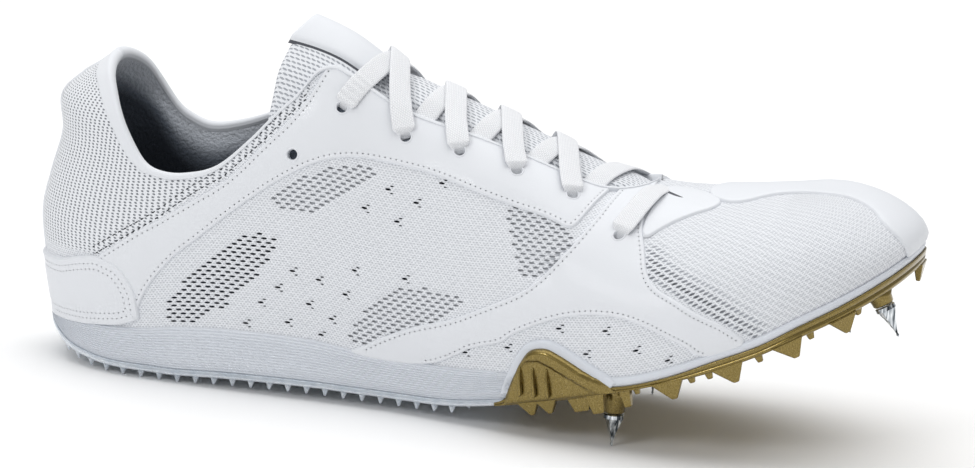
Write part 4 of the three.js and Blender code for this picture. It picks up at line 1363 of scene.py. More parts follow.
# Laces: flat ribbons from a lateral eyelet at -1 to a medial one at 1
LACE_WIDTH = 7 * MM
LACE_THICKNESS = 1.0 * MM
LACE_LIFT = 1.8 * MM
UNDER_EDGE = 0.66
UNDER_DROP = 0.55 * MM
OVER_RISE = 0.6 * MM
VAMP_END = (0.73, 0.8)
RIBBON_SIDES = 18
RIBBON_SQUARENESS = (0.4, 0.8)
SECOND_FACE = 20 * MM


def ribbon(centres, normals, width, thickness):
    ahead = unit(np.gradient(centres, axis=0))
    across = unit(np.cross(ahead, normals))
    profile = []
    wide, deep = RIBBON_SQUARENESS
    for angle in np.linspace(0, 2 * np.pi, RIBBON_SIDES, endpoint=False):
        c, s = math.cos(angle), math.sin(angle)
        profile.append((math.copysign(abs(c) ** wide, c) / 2, math.copysign(abs(s) ** deep, s) / 2))
    width = np.broadcast_to(width, (len(centres),))
    rings = [centres + across * (a * width)[:, None] + normals * (b * thickness) for a, b in profile]
    points = np.stack(rings, axis=1).reshape(-1, 3)
    faces = grid_faces(len(centres), len(profile), closed_columns=True)
    faces.append(tuple(range(len(profile))))
    faces.append(tuple(len(points) - 1 - i for i in range(len(profile))))
    length = lengths_along(centres)
    flat = np.stack(np.broadcast_arrays(
        length[:, None], [a * LACE_WIDTH + (SECOND_FACE if b < 0 else 0) for a, b in profile]), axis=2)
    return points, faces, flat.reshape(-1, 2)


# Where an end dives and narrows, as shares of the way to its tip, and how deep it goes
DIVE = (0.90, 1.0)
DIVE_POWER = 1.5
DIVE_DEPTH = 1.6 * MM
TIP_NARROWS = (0.90, 0.99)
TIP_LOSS = 0.5
SLIP = (0.62, 0.98)
SLIP_DEPTH = 1.0 * MM
# Small folds across a strap: how closely they follow each other, and where they start and end
FOLD_RATE = 75
FOLDS_START = (0.45, 0.6)
FOLDS_END = (0.85, 0.95)
LACE_STEPS = 120


def end_level_at(eyelet, side):
    place, share = eyelet
    return share * cut_of(np.array([turn_at(along(place), side)]))[0]


def lace_strap(lateral_end, medial_end, start, end, lift, folds=0.0):
    """A strap between two eyelets: an end at -1 or 1 dives into its eyelet from outside, and any
    other end stops just inside the throat's edge, under it."""
    place = np.linspace(start, end, LACE_STEPS)
    side = side_of(place)
    share = mix(lateral_end[0], medial_end[0], (place + 1) / 2)
    turn = turn_at(along(share), side)
    end_level = np.where(place < 0, end_level_at(lateral_end, -1), end_level_at(medial_end, 1))
    level = 1 - np.abs(place) * (1 - end_level)
    grow = np.full(LACE_STEPS, lift)
    width = np.full(LACE_STEPS, LACE_WIDTH)
    for tip in (start, end):
        near = 1 - np.abs(place - tip)
        if abs(tip) == 1:
            grow -= fade(near, *DIVE) ** DIVE_POWER * (lift + DIVE_DEPTH)
            width *= 1 - TIP_LOSS * fade(near, *TIP_NARROWS)
        else:
            grow -= fade(near, *SLIP) * (lift + SLIP_DEPTH)
    waves = folds * np.sin(place * FOLD_RATE) * fade(-place, *FOLDS_START)
    grow += waves * (1 - fade(-place, *FOLDS_END))
    centres = grown(turn, level, grow)
    return ribbon(centres, outward(turn, level), width, LACE_THICKNESS)


def lace_object(name, straps, node, material):
    points, faces = join_parts([s[:2] for s in straps])
    piece = make_object(name, points, faces, material, np.concatenate([s[2] for s in straps]))
    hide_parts(node)


FOLD_HEIGHT = 0.22 * MM


def build_laces(material):
    under, over = LACE_LIFT - UNDER_DROP, LACE_LIFT + OVER_RISE
    for i in range(1, len(EYELETS) - 2):
        start, folds = (-1, FOLD_HEIGHT) if i == 1 else (-UNDER_EDGE, 0.0)
        low = lace_strap(EYELETS[i], EYELETS[i + 1], start, 1, under, folds)
        high = lace_strap(EYELETS[i + 1], EYELETS[i], -1, UNDER_EDGE, over)
        lace_object(f"lace_pair_{i}", [low, high], f"lace_crossing_{i}", material)
    front = lace_strap(EYELETS[-2], EYELETS[-1], -UNDER_EDGE, 1, under)
    lace_object("lace_front", [front], "lace_strap", material)
    low = lace_strap(EYELETS[-1], VAMP_END, -1, 0.0, over)
    lace_object("lace_low", [low], "lace_bar", material)


# Sole: layers that follow the edge, each with the profile of its side
LAYER_RINGS = (0.0, 0.35, 0.7, 0.93)


def sole_layer(turn, low, high, sides, whole):
    """One layer: sides lists (share of the height, inset) from low to high; whole closes the ring."""
    columns = [layer_point(turn, share, sides[0][1], low) for share in LAYER_RINGS]
    for share, inset in sides:
        columns.append(layer_point(turn, 1.0, inset, lambda x: mix(low(x), high(x), share)))
    columns += [layer_point(turn, share, sides[-1][1], high) for share in LAYER_RINGS[::-1]]
    count = len(columns)
    points = np.stack(columns, axis=1).reshape(-1, 3)
    faces = grid_faces(len(turn), count, closed_rows=whole)
    if not whole:
        last = (len(turn) - 1) * count
        faces.append([*range(count), *range(last + count - 1, last - 1, -1)])
    return points, faces


def layer_point(turn, share, inset, height):
    rim_x, rim_y, _ = edge(turn, inset)
    middle_x, middle_y, _ = spine(rim_x)
    x = mix(middle_x, rim_x, share)
    return np.stack([x, mix(middle_y, rim_y, share), height(x)], axis=1)


CLEARANCE_KEPT = 0.2


def rubber_top(x):
    return sole_bottom(x) + RUBBER_THICKNESS


def midsole_top(x):
    return feather(x) - CLEARANCE * CLEARANCE_KEPT


def plate_top(x):
    return feather(x) - RIM_HEIGHT - 2 * CLEARANCE


PLATE_RAMP = 13 * MM
PLATE_FOOT = 1.3 * MM


def ramp_top(x):
    """The plate's top, which rises from a thin foot at its rear end."""
    return mix(sole_bottom(x) + PLATE_FOOT, plate_top(x), fade(x, PLATE_REAR, PLATE_REAR + PLATE_RAMP))


def wedge_bottom(x):
    return np.maximum(rubber_top(x), ramp_top(x) * (x > PLATE_REAR))


RUBBER_OVERLAP = 3 * MM


def rear_turns(count, over=RUBBER_OVERLAP):
    reach = turn_at(PLATE_REAR + over, 1)
    return np.linspace(-reach, reach, count)


def front_turns(count):
    """Turns from the lateral rear end of the plate round the toe to the medial rear end."""
    reach = turn_at(PLATE_REAR, 1)
    turn = np.linspace(-reach, -2 + reach, count)
    return np.where(turn < -1, turn + 2, turn)


RIB_COUNT = 15
RIB_DEPTH = 0.42 * MM
RIB_STEPS = 6
# The foam wedge's insets: everywhere, at its foot and at its top, with the shares where these fade
WEDGE_INSET = 0.2 * MM
WEDGE_FOOT = 1.0 * MM
WEDGE_TOP = 0.5 * MM
FOOT_FADES = (0, 0.25)
TOP_FADES = (0.85, 1)
REAR_STEPS = 560
LAYER_STEPS = 420
RIM_SIDES = ((0, 1.0 * MM), (0.2, 0.6 * MM), (0.5, 0.45 * MM), (0.8, 0.6 * MM), (1, 1.0 * MM))
RIM_OVERLAP = 0.2 * MM


def wedge_sides():
    sides = []
    for share in np.linspace(0, 1, RIB_COUNT * RIB_STEPS + 1):
        body = WEDGE_INSET + WEDGE_FOOT * (1 - fade(share, *FOOT_FADES))
        body += WEDGE_TOP * fade(share, *TOP_FADES)
        rib = RIB_DEPTH * (0.5 + 0.5 * math.cos(share * 2 * math.pi * RIB_COUNT))
        sides.append((share, body + rib))
    return sides


def build_midsole(material):
    rear, front = rear_turns(REAR_STEPS, PLATE_RAMP), front_turns(LAYER_STEPS)
    foam = sole_layer(rear, wedge_bottom, midsole_top, wedge_sides(), False)
    rim = sole_layer(front, lambda x: plate_top(x) - RIM_OVERLAP, midsole_top, RIM_SIDES, False)
    piece = make_object("midsole_foam", *join_parts([foam, rim]), material)
    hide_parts("midsole")


# Plate: a thin tray with teeth, sockets, small blocks and a flange beside the ball
WING = (
    (0.566, -0.16), (0.572, -0.05), (0.580, 0.038), (0.588, 0.105), (0.5945, 0.137), (0.604, 0.152),
    (0.6145, 0.156), (0.624, 0.140), (0.637, 0.110), (0.650, 0.075), (0.665, 0.030), (0.684, -0.03),
    (0.700, -0.10),
)
WING_RIM = 2.4 * MM
WING_RISE = 0.9 * MM
FLANGE_RISE = 2.3 * MM
FLANGE_EDGE = 0.7 * MM
FLANGE_STEP = 1.0 * MM
FLANGE_ROUND = 2.5 * MM
FLANGE_SPACING = 0.45 * MM
RIB_FOOT = -6.2 * MM
RIB_TOP = 3.5 * MM
FLANGE_RIBS = ((0.585, 0.588), (0.600, 0.605), (0.616, 0.621))
WING_STRETCH = 1.04
WING_FOOT = 2.0 * MM
WING_STEP = 0.5 * MM
FLANGE_FOOT = 0.4 * MM


def wing_loop(margin, drop):
    """Flat outline over the flange: its curved top and a foot below the sole's edge."""
    x, z = raised(*np.array(WING).T)
    turn = turn_at(x, -1)
    height = z - feather(x)
    height = np.minimum(height * WING_STRETCH, height + MM)
    top = np.stack([length_of(turn), height], axis=1)
    foot = top[::-1].copy()
    foot[:, 1] = drop(x[::-1])
    loop = np.concatenate([top, foot])
    loop = resample(soften(loop, 2), FINE_SPACING, True)
    if margin:
        loop = resample(inset_line(loop, -margin), FINE_SPACING, True)
    return loop


def flange_drop(x):
    return sole_bottom(x) - feather(x) + FLANGE_FOOT


def build_wing_rim(material):
    loop = wing_loop(WING_RIM, lambda x: np.full(len(x), -WING_FOOT))
    return panel_mesh("wing_rim", loop, on_last, material, WING_RISE + WING_STEP)


FLANGE_CREASE = (
    (0.567, -0.10), (0.578, 0.025), (0.592, 0.088), (0.606, 0.098), (0.622, 0.070), (0.645, 0.005),
    (0.672, -0.08), (0.70, -0.16),
)
CREASE_HALF = 0.7 * MM
EDGE_ROUND = 1.6 * MM
REAR_TAIL = (0.564, 0.576)
FRONT_TAIL = (0.652, 0.690)
TAIL_PROUD = 0.05 * MM


def flange_rise(flat, loop):
    """Thickness of the flange: proud over its crease, hollow under it, level with the plate at its ends."""
    x, z = raised(*np.array(FLANGE_CREASE).T)
    crease_length = length_of(turn_at(x, -1))
    crease = np.interp(flat[:, 0], crease_length[::-1], (z - feather(x))[::-1])
    shape = FLANGE_STEP * fade(flat[:, 1] - crease, -CREASE_HALF, CREASE_HALF)
    edge_share = np.sqrt(1 - (1 - np.clip(distance_to(flat, loop) / EDGE_ROUND, 0, 1)) ** 2)
    rise = (FLANGE_RISE - FLANGE_EDGE + shape) * edge_share + FLANGE_EDGE
    share = np.interp(flat[:, 0], crease_length[::-1], share_at(x)[::-1])
    tail = fade(share, *FRONT_TAIL) + 1 - fade(share, *REAR_TAIL)
    return mix(rise, FEATHER_INSET + TAIL_PROUD, np.clip(tail, 0, 1))


def on_flange(flat, rise):
    """Points over the flange, with the last's kink at the sole's edge rounded off."""
    points = 2 * on_last(flat, rise)
    for step in (-FLANGE_ROUND, FLANGE_ROUND):
        points += on_last(flat + (0, step), rise)
    return points / 4


FLANGE_RINGS = (0.15 * MM, 0.35 * MM)
RIB_POINTS = 24
RIB_RISES = (1.0 * MM, -0.6 * MM)
RIB_WIDTHS = (1.4 * MM, 0.6 * MM)
RIB_POINTED = 0.12
RIB_TIP_LOSS = 0.9
RIB_THICKNESS = 1.6 * MM


def build_flange():
    """The flange beside the ball with three tapered ribs at its foot."""
    loop = wing_loop(0, flange_drop)
    flat, faces, _ = fill_outline(loop, FLANGE_RINGS, FLANGE_SPACING)
    parts = [(on_flange(flat, flange_rise(flat, loop)), faces)]
    u = np.linspace(0, 1, RIB_POINTS)
    for top_share, foot_share in FLANGE_RIBS:
        ends = length_of(turn_at(along(np.array([foot_share, top_share])), -1))
        path = np.stack([mix(ends[0], ends[1], u), mix(RIB_FOOT, RIB_TOP, u)], axis=1)
        centres = on_flange(path, flange_rise(path, loop) + mix(*RIB_RISES, u ** 3))
        normals = unit(on_flange(path, 3 * MM) - on_flange(path, 2 * MM))
        pointed = np.sqrt(1 - (1 - np.clip(u / RIB_POINTED, 0, 1)) ** 2 * RIB_TIP_LOSS)
        parts.append(ribbon(centres, normals, mix(*RIB_WIDTHS, u) * pointed, RIB_THICKNESS)[:2])
    return join_parts(parts)


TEETH = ((0.569, 0.72), (0.588, 0.72), (0.714, 1.0), (0.773, 1.0), (0.829, 1.0), (0.880, 1.0))
TOOTH_LENGTH = 10.5 * MM
TOOTH_HEIGHT = 5.2 * MM
TOOTH_THICKNESS = 3 * MM
TOOTH_TIP = 0.1
SINK = 0.8 * MM


def tooth_frame(turn, inset):
    """Place and directions under the plate's edge: forward, down through the sole and inward."""
    side = math.copysign(1, turn)
    turns = np.array([turn, turn + side * NUDGE])
    x, y, _ = edge(turns, inset)
    z = sole_bottom(x)
    here = np.array([x[0], y[0], z[0]])
    forward = np.array([x[1], y[1], z[1]]) - here
    forward /= np.linalg.norm(forward)
    across = np.cross(forward, (0, 0, 1))
    across /= np.linalg.norm(across)
    return here, forward, np.cross(across, forward), across


def wedge(frame, base, tip, height, lean):
    """A block that narrows downward from a base to a tip, each a length and a thickness."""
    here, forward, up, across = frame
    points = []
    for (length, thick), down, shift in ((base, SINK, 0), (tip, -height, lean)):
        for a, b in ((-1, -1), (1, -1), (1, 1), (-1, 1)):
            points.append(here + forward * (shift + a * length / 2) + across * b * thick / 2 + up * down)
    faces = [(3, 2, 1, 0), (4, 5, 6, 7)]
    faces += [(k, (k + 1) % 4, 4 + (k + 1) % 4, 4 + k) for k in range(4)]
    return np.array(points), faces


# Small blocks and nubs inboard of the plate's edge: turn, inset, length, thickness and height, in mm
BLOCKS = (
    (-0.622, 4, 8.5, 4, 4.6), (-0.640, 1.8, 6.5, 3, 5.6), (-0.670, 3, 3.8, 3, 5.2),
    (-0.667, 5, 2.6, 2, 2.4), (-0.680, 5, 2.6, 2, 2.2), (-0.735, 5, 3, 2, 2.2),
    (-0.752, 5, 3, 2, 2.4), (-0.800, 5, 3, 2, 2.4), (-0.852, 5, 3, 2, 2.4), (-0.905, 5, 3, 2, 2.4),
    (-0.940, 5, 3, 2, 2.6), (0.604, 5, 7.5, 4, 4.2), (0.652, 6, 3.4, 3, 4.2), (0.700, 5, 3, 2, 2.4),
    (0.752, 5, 3, 2, 2.4), (0.800, 5, 3, 2, 2.4), (0.852, 5, 3, 2, 2.4), (0.905, 5, 3, 2, 2.6),
)


TIP_LENGTH = 0.16
TIP_THICKNESS = 0.45
BLOCK_TIP = (0.55, 0.7)
TOOTH_BEVEL = 0.35 * MM


def build_teeth(material):
    parts = []
    turns = [(side * turn, size) for side in (-1, 1) for turn, size in TEETH] + [(1 - NUDGE, 1.0)]
    for turn, size in turns:
        length = TOOTH_LENGTH * size
        tip = (TIP_LENGTH * length, TIP_THICKNESS * TOOTH_THICKNESS)
        parts.append(wedge(tooth_frame(turn, TOOTH_THICKNESS / 2), (length, TOOTH_THICKNESS), tip,
                           TOOTH_HEIGHT * size, TOOTH_TIP * length))
    for turn, inset, length, thick, height in BLOCKS:
        base = (length * MM, thick * MM)
        tip = (length * BLOCK_TIP[0] * MM, thick * BLOCK_TIP[1] * MM)
        parts.append(wedge(tooth_frame(turn, inset * MM), base, tip, height * MM, 0))
    piece = make_object("plate_teeth", *join_parts(parts), material)
    piece.data.polygons.foreach_set("use_smooth", [False] * len(piece.data.polygons))
    bevel = piece.modifiers.new("rounded", "BEVEL")
    bevel.width, bevel.segments = TOOTH_BEVEL, 2
    return piece


# Spikes by place along and across, and whether they stand square to the sole
SPIKES = (
    ("spike_rear_lateral", 0.689, -0.374, False), ("spike_rear_medial", 0.684, 0.363, False),
    ("spike_front_lateral", 0.962, -0.154, True), ("spike_front_medial", 0.884, 0.330, True),
)
SPIKE_LENGTH = 9 * MM
SPIKE_SHOULDER = 1.5 * MM
SPIKE_HALF = 2.2 * MM
SHOULDER_RADIUS = 3.2 * MM
SOCKET_RADIUS = 3.3 * MM
FRONT_SOCKET = 3.4 * MM
POINT_PROFILE = ((0.06 * MM, 0), (0.35 * MM, 0.5 * MM))
SPIKE_ROWS = (0.15, 1, 8)
SPIKE_POWER = 1.3
SPIKE_GROW = 0.05 * MM
SHOULDER_ROUND = 0.3 * MM
SPIKE_SIDES = 24
SPIKE_TURN = 0.55
FACET_ANGLE = math.radians(25)


def spike_frame(place, across, square):
    x = np.array([along(place) - MM, along(place), along(place) + MM])
    low = sole_bottom(x)
    slope = (low[2] - low[0]) / (2 * MM) if square else 0.0
    axis = np.array([-slope, 0, 1]) / math.hypot(slope, 1)
    reach = SPIKE_LENGTH + SPIKE_SHOULDER
    socket = FRONT_SOCKET if square else low[1] - reach - CLEARANCE
    tip = np.array([x[1], BALL_WIDTH * across, low[1]]) - axis * (socket + reach + CLEARANCE)
    return tip, axis, socket


def turned(tip, axis, profile, sides, start=0.0, square=()):
    """A body turned about an axis from its tip; the rows named in square are pulled out to four corners."""
    turn = np.array(Vector((0, 0, 1)).rotation_difference(Vector(axis)).to_matrix())
    angle = np.linspace(0, 2 * np.pi, sides, endpoint=False) + start
    corners = 1 / np.maximum(np.abs(np.cos(angle - start)), np.abs(np.sin(angle - start)))
    rows = []
    for k, (radius, height) in enumerate(profile):
        fit = corners if k in square else 1
        row = [radius * fit * np.cos(angle), radius * fit * np.sin(angle), np.full(sides, height)]
        rows.append(np.stack(row, axis=1))
    points = tip + np.concatenate(rows) @ turn.T
    faces = grid_faces(len(profile), sides, closed_columns=True)
    faces.append(tuple(range(sides)))
    faces.append(tuple(range(len(points) - 1, len(points) - sides - 1, -1)))
    return points, faces


def build_spike(name, place, across, square, material):
    tip, axis, _ = spike_frame(place, across, square)
    reach = SPIKE_LENGTH + SPIKE_SHOULDER
    profile = list(POINT_PROFILE)
    for share in np.linspace(*SPIKE_ROWS):
        profile.append((SPIKE_HALF * share ** SPIKE_POWER + SPIKE_GROW, SPIKE_LENGTH * share))
    pyramid = range(len(profile))
    profile += [(SHOULDER_RADIUS, SPIKE_LENGTH + SPIKE_GROW), (SHOULDER_RADIUS, reach - SHOULDER_ROUND),
                (SHOULDER_RADIUS - SHOULDER_ROUND, reach)]
    points, faces = turned(tip, axis, profile, SPIKE_SIDES, SPIKE_TURN, pyramid)
    piece = make_object(f"{name}_steel", points, faces, material)
    crease = piece.modifiers.new("facets", "EDGE_SPLIT")
    crease.split_angle = FACET_ANGLE
    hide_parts(name)


SOCKET_SIDES = 20
SOCKET_ROUND = 0.4 * MM
SOCKET_SWELL = 0.3 * MM
SOCKET_WAIST = 0.7
SOCKET_FOOT = 0.6 * MM
PLATE_SIDES = (
    (0, 1.0 * MM), (0.06, 0.5 * MM), (0.16, 0.25 * MM), (0.42, 0.2 * MM), (0.47, 0.5 * MM),
    (0.52, 0.5 * MM), (0.56, 0.1 * MM), (0.9, 0.05 * MM), (0.97, 0.15 * MM), (1, 0.45 * MM),
)


def build_sockets():
    parts = []
    reach = SPIKE_LENGTH + SPIKE_SHOULDER + CLEARANCE
    for _, place, across, square in SPIKES:
        tip, axis, socket = spike_frame(place, across, square)
        profile = [(SOCKET_RADIUS - SOCKET_ROUND, reach), (SOCKET_RADIUS, reach + SOCKET_ROUND),
                   (SOCKET_RADIUS + SOCKET_SWELL, reach + socket * SOCKET_WAIST),
                   (SOCKET_RADIUS + SINK + SOCKET_FOOT, reach + socket + SINK)]
        parts.append(turned(tip, axis, profile, SOCKET_SIDES))
    return parts


def build_plate(material):
    slab = sole_layer(front_turns(LAYER_STEPS), sole_bottom, ramp_top, PLATE_SIDES, False)
    piece = make_object("plate_body", *join_parts([slab, build_flange(), *build_sockets()]), material)
    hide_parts("spike_plate")
    build_teeth(material)


INSOLE_GAP = 0.5 * MM
INSOLE_BEVEL = 0.8 * MM
BEVEL_START = 0.6
INSOLE_LEVELS = 6
INSOLE_STEPS = 241


def build_insole(material):
    inset = FEATHER_INSET + UPPER_WALL + INSOLE_GAP
    sides = [(share, inset + INSOLE_BEVEL * max(share - BEVEL_START, 0))
             for share in np.linspace(0, 1, INSOLE_LEVELS)]
    turn = np.linspace(-1, 1, INSOLE_STEPS)[:-1]
    body = sole_layer(turn, feather, lambda x: feather(x) + INSOLE_THICKNESS, sides, True)
    piece = make_object("insole_pad", *body, material)
    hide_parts("insole")


# Heel rubber with pointed studs
STUD_PITCH = 6 * MM
STUD_INSET = 3.5 * MM
STUD_FRONT = 0.52
STUD_TIP = 0.4 * MM
STUD_BASE = 1.7 * MM
STUD_SIDES = 12
STUD_POINT = 0.3
STUD_BLUNT = 0.25 * MM
STUD_WAIST = (0.62, 0.55)
SEARCH_STEPS = 2400
RUBBER_SIDES = ((0, 1.4 * MM), (0.25, 0.8 * MM), (0.5, 0.45 * MM), (0.85, 0.35 * MM), (1, 0.6 * MM))


def cone(tip, length, tip_radius, base_radius):
    profile = [(STUD_POINT * tip_radius, 0), (tip_radius, STUD_BLUNT),
               (base_radius * STUD_WAIST[0], length * STUD_WAIST[1]), (base_radius, length)]
    return turned(np.array(tip), (0, 0, 1), profile, STUD_SIDES)


def stud_places():
    places = [(0.0, 0.0)]
    for inset, pitch in ((STUD_INSET, STUD_PITCH), (STUD_INSET + STUD_PITCH, 4 * STUD_PITCH)):
        for side in (-1, 1):
            x, y, _ = edge(side * np.linspace(0, TOE_TURN, SEARCH_STEPS), inset)
            last = (x[0], y[0])
            if side < 0:
                places.append(last)
            for here in zip(x, y):
                if here[0] > along(STUD_FRONT):
                    break
                if math.dist(here, last) < pitch:
                    continue
                places.append(here)
                last = here
    return places


def build_outsole(material):
    parts = [sole_layer(rear_turns(LAYER_STEPS), sole_bottom, rubber_top, RUBBER_SIDES, False)]
    for x, y in stud_places():
        z = float(sole_bottom(np.array([x]))[0])
        parts.append(cone((x, y, z - STUD_HEIGHT), STUD_HEIGHT + SINK, STUD_TIP, STUD_BASE))
    piece = make_object("heel_rubber", *join_parts(parts), material)
    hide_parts("outsole")


# Materials: small helpers that lay shader nodes
def new_material(name, color, roughness, **settings):
    material = bpy.data.materials.new(name)
    material.use_nodes = True
    tree = material.node_tree
    shader = tree.nodes["Principled BSDF"]
    shader.inputs["Base Color"].default_value = (*color, 1)
    shader.inputs["Roughness"].default_value = roughness
    for word, value in settings.items():
        shader.inputs[word.replace("_", " ")].default_value = value
    return material, tree, shader


def math_node(tree, operation, *values):
    node = tree.nodes.new("ShaderNodeMath")
    node.operation = operation
    for socket, value in zip(node.inputs, values):
        if isinstance(value, (int, float)):
            socket.default_value = value
        else:
            tree.links.new(value, socket)
    return node.outputs[0]


def color_between(tree, share, *stops):
    """A colour ramp driven by a share; stops are places and colours."""
    ramp = tree.nodes.new("ShaderNodeValToRGB")
    elements = ramp.color_ramp.elements
    elements[0].position, elements[0].color = stops[0][0], (*stops[0][1], 1)
    elements[1].position, elements[1].color = stops[-1][0], (*stops[-1][1], 1)
    for place, color in stops[1:-1]:
        elements.new(place).color = (*color, 1)
    tree.links.new(share, ramp.inputs["Fac"])
    return ramp.outputs["Color"]


def grain(tree, size, detail=3.0, stretch=(1, 1, 1)):
    """Noise with grains of a size in metres, in the object's own places."""
    places = tree.nodes.new("ShaderNodeTexCoord")
    scale = tree.nodes.new("ShaderNodeMapping")
    scale.inputs["Scale"].default_value = tuple(s / size for s in stretch)
    tree.links.new(places.outputs["Object"], scale.inputs["Vector"])
    noise = tree.nodes.new("ShaderNodeTexNoise")
    noise.inputs["Scale"].default_value = 1.0
    noise.inputs["Detail"].default_value = detail
    tree.links.new(scale.outputs["Vector"], noise.inputs["Vector"])
    return noise.outputs[0]


def add_bump(tree, shader, height, depth, strength=1.0):
    """Raise the surface by a height share; a second call adds to the first."""
    bump = tree.nodes.new("ShaderNodeBump")
    bump.inputs["Distance"].default_value = depth
    bump.inputs["Strength"].default_value = strength
    tree.links.new(height, bump.inputs["Height"])
    before = shader.inputs["Normal"].links
    if before:
        tree.links.new(before[0].from_socket, bump.inputs["Normal"])
    tree.links.new(bump.outputs["Normal"], shader.inputs["Normal"])


def tint(tree, shader, share, *stops):
    """Colour a surface by a share; stops are places and colours."""
    tree.links.new(color_between(tree, share, *stops), shader.inputs["Base Color"])


def add_grain(tree, shader, size, depth, strength, detail=3.0, stretch=(1, 1, 1)):
    add_bump(tree, shader, grain(tree, size, detail, stretch), depth, strength)


def other_way(tree, share):
    return math_node(tree, "SUBTRACT", 1.0, share)


# How a dot's edge fades from full to none
DOT_EDGE = (("From Min", 0.35), ("From Max", 1.25), ("To Min", 1.0), ("To Max", 0.0))


def dots(tree, pitch, row, length, width, slant=0.0, stagger=0.5):
    """Rows of long dots in the flat places, in mm: 1 in a dot and 0 between."""
    flat = tree.nodes.new("ShaderNodeUVMap")
    flat.uv_map = "flat"
    parts = tree.nodes.new("ShaderNodeSeparateXYZ")
    tree.links.new(flat.outputs["UV"], parts.inputs[0])
    u = math_node(tree, "DIVIDE", parts.outputs[0], pitch)
    v = math_node(tree, "DIVIDE", parts.outputs[1], row)
    number = math_node(tree, "FLOOR", v)
    odd = math_node(tree, "MULTIPLY", math_node(tree, "MODULO", number, 2.0), stagger)
    high = math_node(tree, "SUBTRACT", math_node(tree, "FRACT", v), 0.5)
    lean = math_node(tree, "MULTIPLY", high, slant)
    cell = math_node(tree, "FRACT", math_node(tree, "ADD", math_node(tree, "ADD", u, odd), lean))
    far = math_node(tree, "SUBTRACT", cell, 0.5)
    far = math_node(tree, "POWER", math_node(tree, "MULTIPLY", far, 2 * pitch / length), 2.0)
    high = math_node(tree, "POWER", math_node(tree, "MULTIPLY", high, 2 * row / width), 2.0)
    spread = tree.nodes.new("ShaderNodeMapRange")
    spread.interpolation_type = "SMOOTHSTEP"
    for word, value in DOT_EDGE:
        spread.inputs[word].default_value = value
    tree.links.new(math_node(tree, "ADD", far, high), spread.inputs["Value"])
    return spread.outputs["Result"]


def share_of(tree, word):
    node = tree.nodes.new("ShaderNodeAttribute")
    node.attribute_name = word
    return node.outputs["Fac"]


WHITE = (0.745, 0.765, 0.80)
CLOTH = (0.80, 0.82, 0.855)
YARN_SHADE = (0.36, 0.38, 0.42)
DEEP = (0.05, 0.055, 0.065)

# Dots in mm: pitch, row, length and width
LARGE_DOTS = (3.1, 1.3, 2.1, 0.85)
FINE_DOTS = (1.1, 0.72, 0.75, 0.4)
HEEL_DOTS = (1.9, 0.95, 0.95, 0.62)
LACE_DOTS = (0.95, 0.55, 0.85, 0.45)
TONGUE_DOTS = (1.9, 1.5, 1.6, 0.75)
FINE_SHADE = 0.26
UNEVENNESS = 0.3
FIBRE = (0.35 * MM, 0.05 * MM, 0.6)


def cloth_material():
    material, tree, shader = new_material("mesh_cloth", CLOTH, 0.8, Sheen_Weight=0.25)
    large = dots(tree, *LARGE_DOTS)
    fine = dots(tree, *FINE_DOTS)
    dark = math_node(tree, "MULTIPLY", large, share_of(tree, "open"))
    light = math_node(tree, "MULTIPLY", fine, FINE_SHADE)
    share = math_node(tree, "MAXIMUM", dark, light)
    uneven = math_node(tree, "SUBTRACT", grain(tree, 0.5 * MM, 2.0), 0.5)
    uneven = math_node(tree, "MULTIPLY", uneven, UNEVENNESS)
    share = math_node(tree, "ADD", share, uneven)
    tint(tree, shader, share, (0, CLOTH), (0.45, YARN_SHADE), (1, DEEP))
    add_bump(tree, shader, other_way(tree, fine), 0.09 * MM, 0.8)
    add_bump(tree, shader, other_way(tree, dark), 0.3 * MM, 0.9)
    add_grain(tree, shader, *FIBRE)
    return material


def heel_mesh_material():
    material, tree, shader = new_material("heel_mesh", CLOTH, 0.8, Sheen_Weight=0.25)
    dash = dots(tree, *HEEL_DOTS, slant=-0.35, stagger=0.12)
    tint(tree, shader, dash, (0, CLOTH), (0.5, (0.56, 0.58, 0.62)), (1, (0.2, 0.215, 0.24)))
    add_bump(tree, shader, other_way(tree, dash), 0.3 * MM, 0.9)
    add_grain(tree, shader, *FIBRE)
    return material


def overlay_material(name="overlay", color=WHITE, roughness=0.5):
    material, tree, shader = new_material(name, color, roughness, Coat_Weight=0.06)
    add_grain(tree, shader, 0.45 * MM, 0.03 * MM, 0.6)
    add_grain(tree, shader, 6 * MM, 0.12 * MM, 0.35, 2.0)
    return material


def lace_material():
    material, tree, shader = new_material("lace", WHITE, 0.75, Sheen_Weight=0.3)
    weave = dots(tree, *LACE_DOTS)
    tint(tree, shader, weave, (0, (0.78, 0.795, 0.825)), (1, (0.9, 0.91, 0.93)))
    add_bump(tree, shader, weave, 0.12 * MM, 0.9)
    return material


def tongue_material():
    material, tree, shader = new_material("tongue_mesh", CLOTH, 0.85, Sheen_Weight=0.3)
    cells = dots(tree, *TONGUE_DOTS, slant=0.9, stagger=0.35)
    tint(tree, shader, cells, (0, CLOTH), (1, (0.38, 0.4, 0.44)))
    add_bump(tree, shader, other_way(tree, cells), 0.25 * MM, 0.9)
    add_grain(tree, shader, 0.3 * MM, 0.05 * MM, 0.6)
    return material


def lining_material():
    material, tree, shader = new_material("lining", DEEP, 0.9, Sheen_Weight=0.2)
    # Light grey-blue at the collar's edge darkening to slate lower down: partly the lining's own slate
    # tone, partly painted shade deeper inside the shoe
    tint(tree, shader, share_of(tree, "deep"), (0, (0.62, 0.65, 0.7)), (0.05, (0.48, 0.51, 0.56)),
         (0.11, (0.16, 0.185, 0.225)), (0.17, (0.05, 0.062, 0.082)), (0.4, (0.06, 0.072, 0.092)))
    add_grain(tree, shader, 1.1 * MM, 0.8 * MM, 1.0)
    return material


